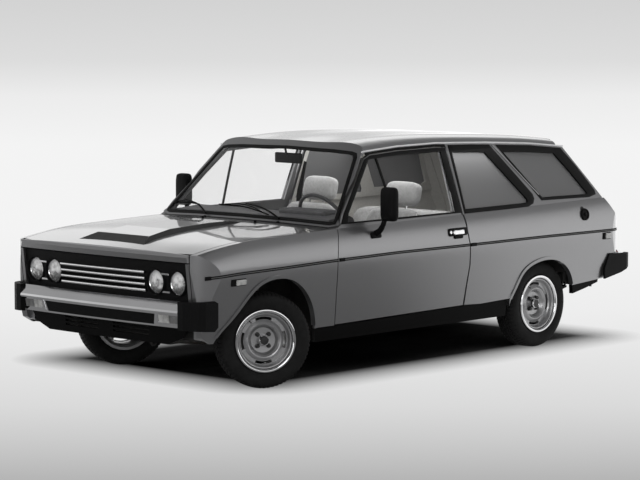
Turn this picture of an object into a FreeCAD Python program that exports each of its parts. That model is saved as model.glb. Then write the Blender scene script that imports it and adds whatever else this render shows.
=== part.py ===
"""A two-door station wagon of the late 1970s: five seats, folded-steel body, live rear axle.

The frame: +X forward, +Y to the car's left, +Z up, in millimetres. The origin is on the ground,
midway between the faces of the two bumpers, on the car's centre line.
Every panel is cut out of one outer body form by its own seam outline, so that neighbours line up.
"""
import FreeCAD, Part
import math
import os

V = FreeCAD.Vector
os.makedirs("parts", exist_ok=True)

# Overall sizes
overall_length = 4264.0
wheelbase = 2490.0
front_axle_x = 1347.0
rear_axle_x = front_axle_x - wheelbase
front_track = 1372.0
rear_track = 1314.0

# Gaps: shut lines of what opens, and the seating gap of what is fixed
shut_gap = 6.0
seat_gap = 0.3

# Wall thicknesses
door_wall = 55.0
frame_wall = 30.0
wing_wall = 16.0
roof_wall = 22.0
bonnet_wall = 20.0

# Half widths of the body side, from the sill up to the shoulder crease
half_width_floor = 766.0
half_width_sill = 784.0
half_width_waist = 823.0
half_width_shoulder = 778.0
floor_form_z = 190.0
sill_z = 335.0
waist_z = 728.0

# The shoulder crease along the car: (x, z), and the crown of the metal above it
shoulder_line = [(2160, 822), (1980, 852), (1700, 889), (1350, 906), (857, 919), (200, 926),
                 (-500, 936), (-1143, 946), (-1700, 956), (-2100, 962)]
bonnet_crown = 20.0

# The roof's drip rail along the car: (x, z)
rail_line = [(1000, 1290), (700, 1330), (448, 1353), (137, 1372), (-230, 1377), (-728, 1361),
             (-1165, 1337), (-1503, 1305), (-1750, 1272), (-2000, 1232)]
rail_half_width = 617.0
rail_reference_z = 1349.0
tumblehome = 0.364
roof_crown = 58.0

# Curvature in plan of nose, tail and windscreen
nose_plan_radius = 12000.0
tail_plan_radius = 6000.0
screen_sagitta = 73.5
screen_half_width = 775.0
screen_foot_x = 1732.0
screen_rake = 0.956

# Wheels
tyre_radius = 288.0
kingpin_offset = 120.0
rest_steer_deg = 28.0

# Towing eyes
tow_eye_hole = 12.0


def prism_y(points, y0, y1):
    """A flat outline in the XZ plane, drawn out from y0 to y1."""
    return Part.Face(outline([V(x, y0, z) for x, z in points])).extrude(V(0, y1 - y0, 0))


def prism_z(points, z0, z1):
    """A flat outline in the XY plane, drawn out from z0 to z1."""
    return Part.Face(outline([V(x, y, z0) for x, y in points])).extrude(V(0, 0, z1 - z0))


def prism_x(points, x0, x1):
    """A flat outline in the YZ plane, drawn out from x0 to x1."""
    return Part.Face(outline([V(x0, y, z) for y, z in points])).extrude(V(x1 - x0, 0, 0))


def outline(corners):
    """A closed wire of straight edges."""
    return Part.makePolygon(corners + [corners[0]])


def box(x0, x1, y0, y1, z0, z1):
    return Part.makeBox(x1 - x0, y1 - y0, z1 - z0, V(x0, y0, z0))


def rod(start, stop, radius):
    """A round bar between two points."""
    start, stop = V(*start), V(*stop)
    return Part.makeCylinder(radius, (stop - start).Length, start, stop - start)


def mirrored(shape):
    """The same shape on the car's other side."""
    return shape.mirror(V(0, 0, 0), V(0, 1, 0))


def both(shape):
    """The left shape and its mirror image, as separate solids."""
    return Part.makeCompound([shape, mirrored(shape)])


def fuse(*shapes):
    return shapes[0].multiFuse(list(shapes[1:])).removeSplitter() if len(shapes) > 1 else shapes[0]


def solids_of(shape):
    return [s for s in shape.Solids if s.Volume > 2000]


def save(name, shape):
    """Writes one node's solids to its own file."""
    found = solids_of(shape)
    if not found:
        raise ValueError(name + " has no solid")
    for s in found:
        if not s.isValid():
            print("not valid:", name)
    made = found[0] if len(found) == 1 else Part.makeCompound(found)
    made.exportStep("parts/" + name + ".step")
    print(name, len(found), round(sum(s.Volume for s in found) / 1e6, 2), "litres")


def along(line, x):
    """The height of a (x, z) line at x, straight between its points, and level past its ends."""
    if x >= line[0][0]:
        return line[0][1]
    for (xa, za), (xb, zb) in zip(line, line[1:]):
        if xb <= x <= xa:
            return za + (zb - za) * (x - xa) / (xb - xa)
    return line[-1][1]


def spline(points):
    curve = Part.BSplineCurve()
    curve.interpolate(points)
    return curve.toShape()


def lower_section(x, inset, drop):
    """The lower body across the car at x: floor, curved side, crowned top."""
    shoulder = along(shoulder_line, x)
    rise = shoulder - waist_z
    side = [(half_width_floor, floor_form_z), (half_width_sill, sill_z), (804, 500), (818, 640),
            (half_width_waist, waist_z), (815, waist_z + 0.44 * rise),
            (797, waist_z + 0.81 * rise), (half_width_shoulder, shoulder)]
    side = [(y - inset, z - drop if z == shoulder else z) for y, z in side]
    top_y, top_z = side[-1]
    left = spline([V(x, y, z) for y, z in side])
    right = spline([V(x, -y, z) for y, z in reversed(side)])
    top = spline([V(x, top_y, top_z), V(x, top_y * 0.55, top_z + bonnet_crown * 0.72),
                  V(x, 0, top_z + bonnet_crown), V(x, -top_y * 0.55, top_z + bonnet_crown * 0.72),
                  V(x, -top_y, top_z)])
    floor_y, floor_z = side[0]
    floor = Part.LineSegment(V(x, -floor_y, floor_z), V(x, floor_y, floor_z)).toShape()
    return Part.Wire([left, top, right, floor])


def lower_form(inset=0.0, drop=0.0):
    """The lower body's outer form, or an inner one that lies inset in from it."""
    return Part.makeLoft([lower_section(x, inset, drop) for x, _ in shoulder_line], True, False)


def glass_half_width(z):
    """The greenhouse's half width at height z."""
    return rail_half_width + tumblehome * (rail_reference_z - z)


def upper_section(x, inset, drop):
    """The greenhouse across the car at x: leaning sides, drip rail height, crowned roof."""
    rail = along(rail_line, x)
    foot = 800.0
    middle = (foot + rail) / 2
    side = [(glass_half_width(foot) - inset, foot), (glass_half_width(middle) + 5 - inset, middle),
            (glass_half_width(rail) - inset, rail)]
    edge = glass_half_width(rail) - inset
    left = spline([V(x, y, z) for y, z in side])
    right = spline([V(x, -y, z) for y, z in reversed(side)])
    over = [(edge, rail), (edge - 14, rail + 26 - drop), (edge - 52, rail + 42 - drop),
            (edge * 0.5, rail + roof_crown * 0.93 - drop), (0, rail + roof_crown - drop)]
    top = spline([V(x, y, z) for y, z in over] + [V(x, -y, z) for y, z in reversed(over[:-1])])
    foot_y = side[0][0]
    bottom = Part.LineSegment(V(x, -foot_y, foot), V(x, foot_y, foot)).toShape()
    return Part.Wire([left, top, right, bottom])


def upper_form(inset=0.0, drop=0.0):
    return Part.makeLoft([upper_section(x, inset, drop) for x, _ in rail_line], True, False)


# Side views, on the centre line, of the nose and the tail
nose_profile = [(2030, 150), (2045, 430), (2062, 561), (2089, 796), (2092, 826), (2084, 845), (2050, 1000)]
tail_profile = [(-1925, 150), (-1940, 450), (-1956, 600), (-1967, 739), (-1960, 790), (-1912, 860),
                (-1796, 1000), (-1554, 1290), (-1452, 1420)]


def plan_turned(points, axis_x, half_angle):
    """An outline in the XZ plane turned about a vertical axis, so that its far side curves in plan."""
    face = Part.Face(outline([V(x, 0, z) for x, z in points]))
    face.rotate(V(axis_x, 0, 0), V(0, 0, 1), -half_angle)
    return face.revolve(V(axis_x, 0, 0), V(0, 0, 1), 2 * half_angle)


def length_form(inset=0.0):
    """What lies between the curved nose and the curved tail."""
    front = [(x - inset, z) for x, z in nose_profile]
    back = [(x + inset, z) for x, z in tail_profile]
    front_half = plan_turned([(-200, 100), (front[0][0], 100)] + front
                             + [(front[-1][0], 1500), (-200, 1500)], 2092 - nose_plan_radius, 6)
    back_half = plan_turned([(-180, 100), (-180, 1500), (back[-1][0], 1500)] + back[::-1]
                            + [(back[0][0], 100)], -1960 + tail_plan_radius, 12)
    return front_half.fuse(back_half)


def plan_form(inset=0.0):
    """The body's outline from above, with its rounded corners."""
    nose = [(1650, 845), (1860, 826), (1960, 810), (2025, 784), (2060, 745), (2074, 690)]
    tail = [(-1955, 690), (-1942, 745), (-1905, 790), (-1840, 818), (-1740, 845)]
    nose_left = spline([V(x, y - inset, 50) for x, y in nose])
    nose_right = spline([V(x, inset - y, 50) for x, y in reversed(nose)])
    tail_left = spline([V(x, y - inset, 50) for x, y in tail])
    tail_right = spline([V(x, inset - y, 50) for x, y in reversed(tail)])
    side = 845 - inset
    edge = 690 - inset
    front_x, back_x = nose[-1][0], tail[0][0]
    start_x, stop_x = nose[0][0], tail[-1][0]
    front = [V(front_x, edge, 50), V(2200, edge, 50), V(2200, -edge, 50), V(front_x, -edge, 50)]
    back = [V(back_x, -edge, 50), V(-2100, -edge, 50), V(-2100, edge, 50), V(back_x, edge, 50)]
    wire = Part.Wire([nose_left, Part.makePolygon(front), nose_right,
                      Part.makePolygon([V(start_x, -side, 50), V(stop_x, -side, 50)]), tail_right,
                      Part.makePolygon(back), tail_left,
                      Part.makePolygon([V(stop_x, side, 50), V(start_x, side, 50)])])
    return Part.Face(wire).extrude(V(0, 0, 1550))


def screen_space(back):
    """All that lies ahead of the windscreen's outer face, or of a face that lies behind it."""
    reach = 900.0
    radius = (screen_half_width ** 2 + screen_sagitta ** 2) / (2 * screen_sagitta)
    foot = screen_foot_x - back
    corner = foot + screen_sagitta - (radius - math.sqrt(radius ** 2 - reach ** 2))
    arc = Part.Arc(V(corner, reach, 0), V(foot + screen_sagitta, 0, 0), V(corner, -reach, 0)).toShape()
    far = 3000.0
    rest = Part.makePolygon([V(corner, -reach, 0), V(far, -reach, 0), V(far, reach, 0),
                             V(corner, reach, 0)])
    return Part.Face(Part.Wire([arc, rest])).extrude(V(-screen_rake * 1600, 0, 1600))


# The body's outer form, and the forms of its hollow for each wall thickness
ends = length_form()
plan = plan_form()
inner_ends = length_form(40).common(plan_form(wing_wall + 1))
outer = lower_form().fuse(upper_form().cut(screen_space(0))).common(ends).common(plan)
inner_upper = upper_form(frame_wall, roof_wall).cut(screen_space(40))


def hollow(inset):
    return lower_form(inset, bonnet_wall).fuse(inner_upper).common(inner_ends)


shell = outer.cut(hollow(frame_wall))
wing_shell = outer.cut(hollow(wing_wall))
door_shell = outer.cut(hollow(door_wall))
print("forms", round(outer.Volume / 1e9, 3), shell.isValid(), wing_shell.isValid(), door_shell.isValid())


def spread(points, d):
    """A closed outline moved outward by d all round (inward if negative); it runs either way about."""
    area = sum(x1 * z0 - x0 * z1 for (x0, z0), (x1, z1) in zip(points, points[1:] + points[:1]))
    turn = 1 if area > 0 else -1
    moved = []
    for i, (x, z) in enumerate(points):
        (xa, za), (xb, zb) = points[i - 1], points[(i + 1) % len(points)]
        ax, az, bx, bz = x - xa, z - za, xb - x, zb - z
        al, bl = math.hypot(ax, az), math.hypot(bx, bz)
        nx, nz = (-az / al - bz / bl) * turn, (ax / al + bx / bl) * turn
        length = math.hypot(nx, nz)
        share = (length / 2) * length
        moved.append((x + nx / share * d, z + nz / share * d))
    return moved


# Seam outlines in side view, left side
door_outline = [(857, 919), (884, 830), (898, 734), (896, 540), (887, 341), (-309, 357), (-319, 486),
                (-335, 613), (-328, 740), (-313, 825), (-311, 924), (-322, 1352), (-230, 1357), (137, 1352),
                (400, 1337), (462, 1316), (776, 1000), (822, 938)]
door_window = [(425, 1311), (730, 1000), (758, 946), (262, 948), (-246, 951), (-270, 1331), (137, 1328)]
window_one = [(-365, 1330), (-700, 1322), (-760, 1306), (-1000, 985), (-1000, 962), (-350, 958)]
window_two = [(-868, 1308), (-1400, 1276), (-1480, 1262), (-1668, 1000), (-1640, 985), (-1130, 988)]
front_arch = [(1940, 250), (1903, 337), (1778, 447), (1685, 534), (1560, 632), (1389, 662), (1269, 634),
              (1164, 556), (1098, 456), (1066, 345), (1060, 250)]
rear_arch = [(-790, 250), (-795, 364), (-827, 416), (-884, 506), (-1024, 576), (-1173, 585), (-1285, 556),
             (-1369, 496), (-1416, 423), (-1440, 330), (-1450, 250)]


def arch_prism(points, y0, y1):
    """A wheel arch: a smooth curve through its points, closed straight across the foot."""
    curve = spline([V(x, y0, z) for x, z in points])
    foot = [V(x, y0, z) for x, z in (points[-1], points[0])]
    chord = Part.LineSegment(foot[0], foot[1]).toShape()
    return Part.Face(Part.Wire([curve, chord])).extrude(V(0, y1 - y0, 0))


def outside_of(points, centre, d):
    """Arch points moved out from the wheel centre by d."""
    cx, cz = centre
    found = []
    for x, z in points:
        r = math.hypot(x - cx, z - cz)
        found.append((x + (x - cx) / r * d, z + (z - cz) / r * d))
    return found


wheel_z = tyre_radius
front_arch_cut = arch_prism(front_arch, -1000, 1000)
rear_arch_cut = arch_prism(rear_arch, -1000, 1000)
flare_form = lower_form(-7.0).cut(lower_form(30.0, bonnet_wall))
flares = {}
for name, points, axle_x in (("front", front_arch, front_axle_x), ("rear", rear_arch, rear_axle_x)):
    ring = arch_prism(outside_of(points, (axle_x, wheel_z), 20), 700, 900)
    ring = ring.cut(arch_prism(points, 600, 1000)).common(box(-2200, 2200, 600, 900, 352, 900))
    flares[name] = flare_form.common(ring)

# Wings
wing_outline = [(857, 930), (884, 830), (898, 734), (896, 540), (887, 335), (1040, 335), (1150, 320),
                (1850, 320), (1943, 322), (2010, 360), (2022, 430), (2200, 430), (2200, 1000), (857, 1000)]
wing = wing_shell.common(prism_y(wing_outline, 0, 1000)).cut(front_arch_cut)
wing = wing.cut(box(1990, 2300, 0, 743, 100, 1000)).cut(box(700, 1990, 0, 743, 835, 1000))
wing = wing.cut(box(700, 2090, 0, 700, 100, 1600))
door_room = prism_y(spread(door_outline, shut_gap), 0, 1000)
wing = wing.cut(door_room).fuse(flares["front"]).removeSplitter()
save("wing_left", wing)
save("wing_right", mirrored(wing))

# Bonnet, with its raised centre
bonnet_arm_y = 335.0
bonnet_rear = [(905, 737), (935, 560), (958, 300), (966, 0), (958, -300), (935, -560), (905, -737)]
bonnet_plan = [(2200, 737)] + bonnet_rear + [(2200, -737)]
lip_foot_z = 796.0
bonnet_zone = prism_z(bonnet_plan, lip_foot_z, 1000)
bonnet_inner = lower_form(frame_wall, bonnet_wall).common(length_form(24))
bonnet = outer.cut(bonnet_inner).common(bonnet_zone).common(box(860, 2300, -1000, 1000, 780, 1000))
bonnet = bonnet.cut(box(860, 2060, -1000, 1000, 780, 845))


# Across the raised centre at x: (x, half width at the foot, half width at the top, foot z, top z)
bulge_rows = [(1993, 289, 286, 850, 866), (1890, 289, 222, 855, 908), (1690, 282, 188, 872, 936),
              (1346, 220, 163, 892, 949), (1160, 178, 150, 902, 948), (1030, 156, 150, 905, 932)]
bulge = Part.makeLoft([outline([V(x, -foot, low), V(x, foot, low), V(x, top, high), V(x, -top, high)])
                       for x, foot, top, low, high in bulge_rows], True, True)
bonnet = bonnet.fuse(bulge)
for side in (-1, 1):
    arm = prism_y([(2034, 728), (2032, 736), (1986, 752), (1950, 835), (1900, 835), (1900, 855),
                   (1700, 862), (1700, 872), (1940, 862), (1972, 845), (1998, 762), (2040, 740),
                   (2044, 728)], side * bonnet_arm_y - 8, side * bonnet_arm_y + 8)
    bonnet = bonnet.fuse(arm)
save("bonnet", bonnet)

# Front panel and grille
nose_zone = box(2000, 2300, -737, 737, 432, lip_foot_z - 6)
nose_panel = wing_shell.common(nose_zone).cut(box(1900, 2300, -712, 712, 566, 900))
save("nose_panel", nose_panel)

grille = length_form(16).cut(length_form(24)).common(box(1900, 2300, -710, 710, 568, 788))
lamp_z = 668.0
lamp_ys = (620.0, 446.0)
for y in lamp_ys:
    for side in (-1, 1):
        grille = grille.cut(rod((1900, side * y, lamp_z), (2200, side * y, lamp_z), 78.3))
for z in (719, 683, 648, 613):
    bar = length_form(4).cut(length_form(15.7)).common(box(1900, 2300, -372, 372, z - 6, z + 6))
    grille = grille.fuse(bar)
save("grille", grille)

lamps = []
for y in lamp_ys:
    for side in (-1, 1):
        x = 2070 - (side * y) ** 2 / 24000 - 16
        bowl = rod((x - 70, side * y, lamp_z), (x + 4, side * y, lamp_z), 78)
        bowl = bowl.cut(rod((x - 22, side * y, lamp_z), (x + 5, side * y, lamp_z), 71))
        lens = rod((x - 22, side * y, lamp_z), (x - 8, side * y, lamp_z), 69)
        ball = Part.makeSphere(160, V(x - 162, side * y, lamp_z))
        lamps += [bowl.fuse(lens.common(ball))]

# Bumpers
bumper_face_x = overall_length / 2
bumper_plan_radius = 12000.0


def bumper_bar(profile, face_x, way, y_reach):
    """A bar of constant profile, curved in plan; way is +1 at the front and -1 at the back."""
    axis_x = face_x - way * bumper_plan_radius
    turn = math.degrees(math.asin(y_reach / bumper_plan_radius))
    points = [V(x, 0, z) for x, z in profile]
    face = Part.Face(outline(points))
    face.rotate(V(axis_x, 0, 0), V(0, 0, 1), -turn)
    return face.revolve(V(axis_x, 0, 0), V(0, 0, 1), 2 * turn)


fx = bumper_face_x
front_bar = [(fx - 62, 573), (fx - 44, 571), (fx - 20, 552), (fx - 4, 520), (fx, 508), (fx - 4, 499),
             (fx - 28, 492), (fx - 40, 430), (fx - 48, 414), (fx - 62, 414), (fx - 54, 492),
             (fx - 44, 500), (fx - 48, 556)]
front_bumper = bumper_bar(front_bar, fx, 1, 690)
for side in (-1, 1):
    front_bumper = front_bumper.cut(box(2000, 2200, side * 590 - 80, side * 590 + 80, 440, 488))
nose_room = length_form(-0.4)
front_bumper = front_bumper.fuse(both(box(2040, 2078, 500, 520, 520, 560)).cut(nose_room))
save("front_bumper", front_bumper)

cap_plan = [(fx - 60, 690.3), (fx - 22, 690.3), (fx - 24, 730), (fx - 42, 770), (fx - 75, 806),
            (fx - 118, 824), (1912, 824), (1912, 806), (fx - 124, 804), (fx - 92, 778), (fx - 68, 744)]
front_cap = prism_z(cap_plan, 396, 574)
front_cap = front_cap.cut(prism_y([(1900, 380), (2150, 380), (2150, 414), (1940, 396), (1912, 420),
                                   (1912, 560), (1940, 574), (1912, 574), (1900, 590)], 600, 900))
body_room = lower_form(-0.4).common(nose_room).common(plan_form(-0.4))
front_cap = front_cap.cut(body_room)
rear_cap_plan = [(-2106, 690.3), (-2092, 730), (-2058, 770), (-2022, 806), (-1982, 824), (-1740, 824),
                 (-1740, 810), (-1990, 802), (-2026, 772), (-2054, 738)]
rear_cap_side = [(-1791, 580), (-2030, 572), (-2080, 560), (-2102, 540), (-2092, 508), (-2040, 482),
                 (-1923, 445), (-1700, 406)]
rear_cap = prism_z(rear_cap_plan[::-1], 400, 582).common(prism_y(rear_cap_side, 600, 900)).cut(body_room)
save("bumper_ends", Part.makeCompound([front_cap, mirrored(front_cap), rear_cap, mirrored(rear_cap)]))

rear_bar = [(-fx + 62, 580), (-fx + 30, 576), (-fx + 6, 556), (-fx, 530), (-fx + 4, 500), (-fx + 28, 450),
            (-fx + 62, 440), (-fx + 62, 452), (-fx + 40, 462), (-fx + 22, 505), (-fx + 44, 560)]
rear_bumper = bumper_bar(rear_bar, -fx, -1, 690)
rear_bumper = rear_bumper.fuse(both(box(-2120, -1940, 490, 520, 500, 560)).cut(nose_room))
save("rear_bumper", rear_bumper)

bumper_lamps = []
for side in (-1, 1):
    lamp = box(2054, 2096, side * 590 - 79.7, side * 590 + 79.7, 440.3, 487.7)
    bumper_lamps.append(lamp)
save("front_lamps", Part.makeCompound(lamps + bumper_lamps))

valance = prism_x([(-700, 431), (700, 431), (640, 350), (520, 305), (-520, 305), (-640, 350)], 1900, 2100)
valance = valance.common(length_form(2).cut(length_form(16)))
for row in range(3):
    for side in (-1, 1):
        z = 345 + 24 * row
        valance = valance.cut(box(1980, 2070, side * 215 - 150, side * 215 + 150, z, z + 12))

# Windscreen and its frame, with the scuttle
glass_hole = prism_x([(0, 958), (400, 954), (715, 944), (735, 952), (590, 1330), (575, 1345), (400, 1358),
                      (0, 1366)], 0, 1400)
glass_hole = glass_hole.fuse(mirrored(glass_hole)).common(box(0, 1400, -900, 900, 900, 1400))
screen_zone = prism_y([(1100, 700), (1100, 1600), (430, 1600), (430, 1353), (480, 1330), (790, 1000),
                       (835, 938), (858, 905), (858, 880), (905, 880), (905, 700)], -1000, 1000)
screen_frame = outer.cut(hollow(frame_wall)).common(screen_zone)
screen_frame = screen_frame.cut(glass_hole)
scuttle_zone = prism_z([(1000, 736), (700, 736), (700, -736), (1000, -736)], 860, 1000)
scuttle_edge = [(x - shut_gap, y) for x, y in bonnet_rear]
scuttle_edge = [(899, 800)] + scuttle_edge + [(899, -800)]
scuttle_zone = scuttle_zone.cut(prism_z([(2200, 800)] + scuttle_edge + [(2200, -800)], 700, 1100))
screen_frame = screen_frame.common(scuttle_zone.fuse(box(300, 858, -1000, 1000, 900, 1600)))
for side in (-1, 1):
    room = prism_y(spread(door_outline, shut_gap), 0, 1000)
    room = room if side > 0 else mirrored(room)
    screen_frame = screen_frame.cut(room)
save("screen_frame", screen_frame)

pane = screen_space(7).cut(screen_space(2)).common(outer).common(glass_hole)
save("windscreen", pane)

# Doors


def slanted(points, y_out, y_in, shift):
    """A side-view outline drawn inward from y_out to y_in while it moves forward by shift."""
    face = Part.Face(outline([V(x, y_out, z) for x, z in points]))
    return face.extrude(V(shift, y_in - y_out, 0))


relief_edge = [(-1200, 100), (-1200, 1500), (-322, 1500), (-322, 1352), (-311, 924), (-313, 825),
               (-328, 740), (-335, 613), (-319, 486), (-309, 357), (-309, 100)]
door = door_shell.common(prism_y(door_outline, 0, 1000)).cut(prism_y(door_window, 0, 1000))
door = door.cut(slanted(relief_edge, 830, 430, 60)).cut(box(-400, 1000, -10, 690, 300, 970))

window_pane = prism_y(spread(door_window, 7), 0, 1000)
pane = upper_form(10).cut(upper_form(15)).common(window_pane).common(box(-400, 900, 0, 1000, 935, 1400))
door_groove = upper_form(9.7).cut(upper_form(15.3)).common(prism_y(spread(door_window, 7.3), 0, 1000))
door_groove = door_groove.common(box(-400, 900, 0, 1000, 934.7, 1400))
door = door.cut(door_groove)
inner_face = [(glass_half_width(z) - 58, z) for z in (935, 1400)]
door = door.cut(prism_x([(0, 935)] + inner_face + [(0, 1400)], -400, 900))
save("door_left", door)
save("door_right", mirrored(door))
vent_bar = prism_y([(352, 1330), (340, 1330), (306, 940), (318, 940)], 0, 1000)
vent_bar = upper_form(4).cut(upper_form(9.7)).common(vent_bar)
vent_bar = vent_bar.common(prism_y(spread(door_window, -0.5), 0, 1000))
save("door_glass_left", pane.fuse(vent_bar))
save("door_glass_right", mirrored(pane.fuse(vent_bar)))

# Door furniture: mirror, handle and the inner trim pad
mirror_head = box(505, 560, 842, 962, 950, 1158)
mirror_head = mirror_head.makeFillet(16, mirror_head.Edges)
mirror_arm = prism_x([(788, 868), (830, 862), (880, 940), (880, 962), (858, 962), (822, 905),
                      (788, 905)], 522, 548)
mirror = fuse(mirror_head, mirror_arm).cut(upper_form(0.0)).cut(lower_form(0.0))
handle = box(-307, -129, 800, 822, 800, 850).common(lower_form(-9)).cut(lower_form(-0.3))
pad = lower_form(door_wall + 0.3, bonnet_wall).cut(lower_form(door_wall + 14, bonnet_wall))
pad = pad.common(box(-280, 850, 0, 1000, 380, 900))
rest = box(-150, 420, 706, 745, 600, 640)
furniture = [mirror, handle, fuse(pad, rest)]
save("door_trim_left", Part.makeCompound(furniture))
save("door_trim_right", Part.makeCompound([mirrored(k) for k in furniture]))

# Quarter panels, from the door's rear seam to the tailgate
seam_x = -1439.0
quarter_outline = [(-311, 924), (-313, 825), (-328, 740), (-335, 613), (-319, 486), (-309, 357),
                   (-479, 350), (-776, 359), (-780, 300), (-1300, 300), (-1400, 392), (-1713, 414),
                   (-2100, 440), (-2100, 1300), (-1560, 1400), (-1503, 1302), (-1165, 1334),
                   (-728, 1357), (-322, 1373)]


def tailgate_room(gap):
    """What the tailgate and its shut line take: a wedge in plan that widens to the rear."""
    wide, narrow = 813 + gap, 795 - 0.36 * (2210 + seam_x) + gap
    upper = prism_z([(-2200, wide), (seam_x + 60, narrow), (seam_x + 60, -narrow), (-2200, -wide)],
                    752 - gap, 1600)
    lower = box(-2200, -1700, -585 - gap, 585 + gap, 606 - gap, 760)
    return upper.fuse(lower).common(box(-2300, seam_x - 6 + gap, -900, 900, 500, 1600))


quarter_doors = prism_y(spread(door_outline, 9), 0, 1000)
quarter = shell.common(prism_y(quarter_outline, 0, 1000)).cut(rear_arch_cut).cut(quarter_doors)
quarter = quarter.cut(prism_y(window_one, 0, 1000)).cut(prism_y(window_two, 0, 1000))
quarter = quarter.cut(tailgate_room(shut_gap)).cut(box(-2300, -1700, 0, 585 + seat_gap, 300, 752))
lamp_zone = box(-2300, -1896, 590, 900, 590, 742)
rear_flare = flares["rear"].cut(box(-1600, -1300, 600, 900, 300, 402))
quarter = quarter.cut(lamp_zone).fuse(rear_flare)
quarter = quarter.cut(box(-2300, -300, 0, 560, 300, 1600)).removeSplitter()

tail_lamp = outer.cut(hollow(frame_wall)).common(box(-2300, -1896.3, 590.3, 900, 590.3, 741.7))
save("tail_lamps", both(tail_lamp))

side_panes = []
for edge in (window_one, window_two):
    groove = upper_form(9.7).cut(upper_form(15.3)).common(prism_y(spread(edge, 8.3), 0, 1000))
    side_panes.append(upper_form(10).cut(upper_form(15)).common(prism_y(spread(edge, 8), 0, 1000)))
    quarter = quarter.cut(groove)
save("quarter_left", quarter)
save("quarter_right", mirrored(quarter))
panes = Part.makeCompound([p for pane in side_panes for p in (pane, mirrored(pane))])
save("quarter_glass", panes)

# Roof, with the rails that the doors shut against
roof_zone = prism_y([(462, 1600), (462, 1352.3), (448, 1349.3), (137, 1370.3), (-230, 1375.3),
                     (-728, 1357.3), (-1165, 1334.3), (seam_x, 1309), (seam_x, 1600)], -1000, 1000)
screen_top = box(430 - seat_gap, 1200, -1000, 1000, 700, 1600)
roof = shell.common(roof_zone).cut(screen_top)
for side in (-1, 1):
    room = prism_y(spread(door_outline, shut_gap), 0, 1000)
    roof = roof.cut(room if side > 0 else mirrored(room))
roof = roof.cut(prism_y(quarter_outline, -1000, 1000).common(roof_zone))
save("roof", roof)

# Tailgate and its glass
tailgate_hollow = upper_form(frame_wall, roof_wall).fuse(lower_form(frame_wall, bonnet_wall))
tailgate_hollow = tailgate_hollow.common(length_form(34))
tailgate = outer.cut(tailgate_hollow).common(tailgate_room(0))
tail_hole = prism_x([(-520, 1010), (520, 1010), (545, 1030), (475, 1270), (450, 1290), (-450, 1290),
                     (-475, 1270), (-545, 1030)], -2100, -1300)
tailgate = tailgate.cut(tail_hole)
tail_pane_zone = prism_x([(-528, 1002), (528, 1002), (553, 1030), (483, 1272), (456, 1298), (-456, 1298),
                          (-483, 1272), (-553, 1030)], -2100, -1300)
tail_pane = length_form(6).cut(length_form(13)).common(tail_pane_zone)
tailgate = tailgate.cut(length_form(5.7).cut(length_form(13.3)).common(tail_pane_zone))
save("tailgate", tailgate)
save("tailgate_glass", tail_pane)

# Rear panel below the tailgate, and the sills
rear_panel = outer.cut(hollow(frame_wall)).common(box(-2300, -1900, -585, 585, 330, 600))
save("rear_panel", rear_panel)

sill = lower_form(12).cut(lower_form(72)).common(box(-760, 1051, 0, 1000, 245, 350))
# the steered front tyre sweeps past the sill's front end
tyre_sweep = prism_z([(1011, 600), (1011, 690), (1026, 729), (1035, 745), (1051, 776), (1100, 776),
                      (1100, 600)], 200, 400)
sill = sill.cut(tyre_sweep)
sill_top = prism_y([(1100, 329), (887, 329), (-309, 347), (-479, 344), (-810, 350), (-810, 500),
                    (1100, 500)], 0, 1000)
sill = sill.cut(sill_top).cut(box(1050, 1200, 0, 1000, 100, 400))

# the skirt behind the rear wheel meets the quarter panel's foot
skirt = prism_y([(-1400, 392 - 2 * seat_gap), (-1700, 413 - 2 * seat_gap), (-1700, 394), (-1566, 361),
                 (-1400, 328)], 560, 1000)
skirt = shell.common(skirt).cut(rear_arch_cut)
save("lower_trim", Part.makeCompound([valance, sill, mirrored(sill), skirt, mirrored(skirt)]))

# Floor pan, with its tunnel, seat cross members, rear wheel houses and load floor
pan = box(-600, 860, -690, 690, 232, 246)
pan = pan.fuse(box(-300, 860, -110, 110, 232, 400)).cut(box(-310, 870, -96, 96, 200, 386))
pan = pan.fuse(box(-610, -290, -60, 60, 240, 352)).cut(box(-620, -280, -48, 48, 200, 340))
load_floor = [(-600, 246), (-600, 232), (-640, 246), (-700, 470), (-1500, 470), (-1895, 470),
              (-1895, 482), (-690, 482), (-632, 290)]
pan = pan.fuse(prism_y(load_floor, -540, 540)).cut(box(-720, -590, -48, 48, 200, 340))
for x in (480, 60):
    pan = pan.fuse(box(x, x + 60, 110, 690, 246, 290)).fuse(box(x, x + 60, -690, -110, 246, 290))
house_z = wheel_z + 60
for side in (-1, 1):
    house = rod((rear_axle_x, side * 500, house_z), (rear_axle_x, side * 752, house_z), 345)
    house = house.cut(rod((rear_axle_x, side * 512, house_z), (rear_axle_x, side * 755, house_z), 335))
    house = house.common(box(-1600, -640, -760, 760, 470, 800))
    pan = pan.cut(rod((rear_axle_x, side * 505, house_z), (rear_axle_x, side * 800, house_z), 340))
    pan = pan.fuse(house)
    pan = pan.fuse(box(-1900, -1480, min(side * 540, side * 750), max(side * 540, side * 750), 470, 482)
                   .cut(quarter if side > 0 else mirrored(quarter)))
    pan = pan.fuse(box(-560, 860, side * 400 - 35, side * 400 + 35, 200, 232))
    pan = pan.fuse(box(-1900, -1480, side * 400 - 30, side * 400 + 30, 430, 470))
pan = pan.cut(box(-300, 870, -96, 96, 190, 386)).cut(lower_form(-50).cut(lower_form(frame_wall + 42)))


def tow_eye(x, y, top, z):
    """A flat steel eye that hangs under a rail, with its hole along Y."""
    plate = box(x - 16, x + 16, y - 5, y + 5, z, top).fuse(rod((x, y - 5, z), (x, y + 5, z), 24))
    return plate.cut(rod((x, y - 20, z), (x, y + 20, z), tow_eye_hole))


pan = pan.fuse(tow_eye(-1830, 400, 440, 345))
save("floor_pan", pan)

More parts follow.
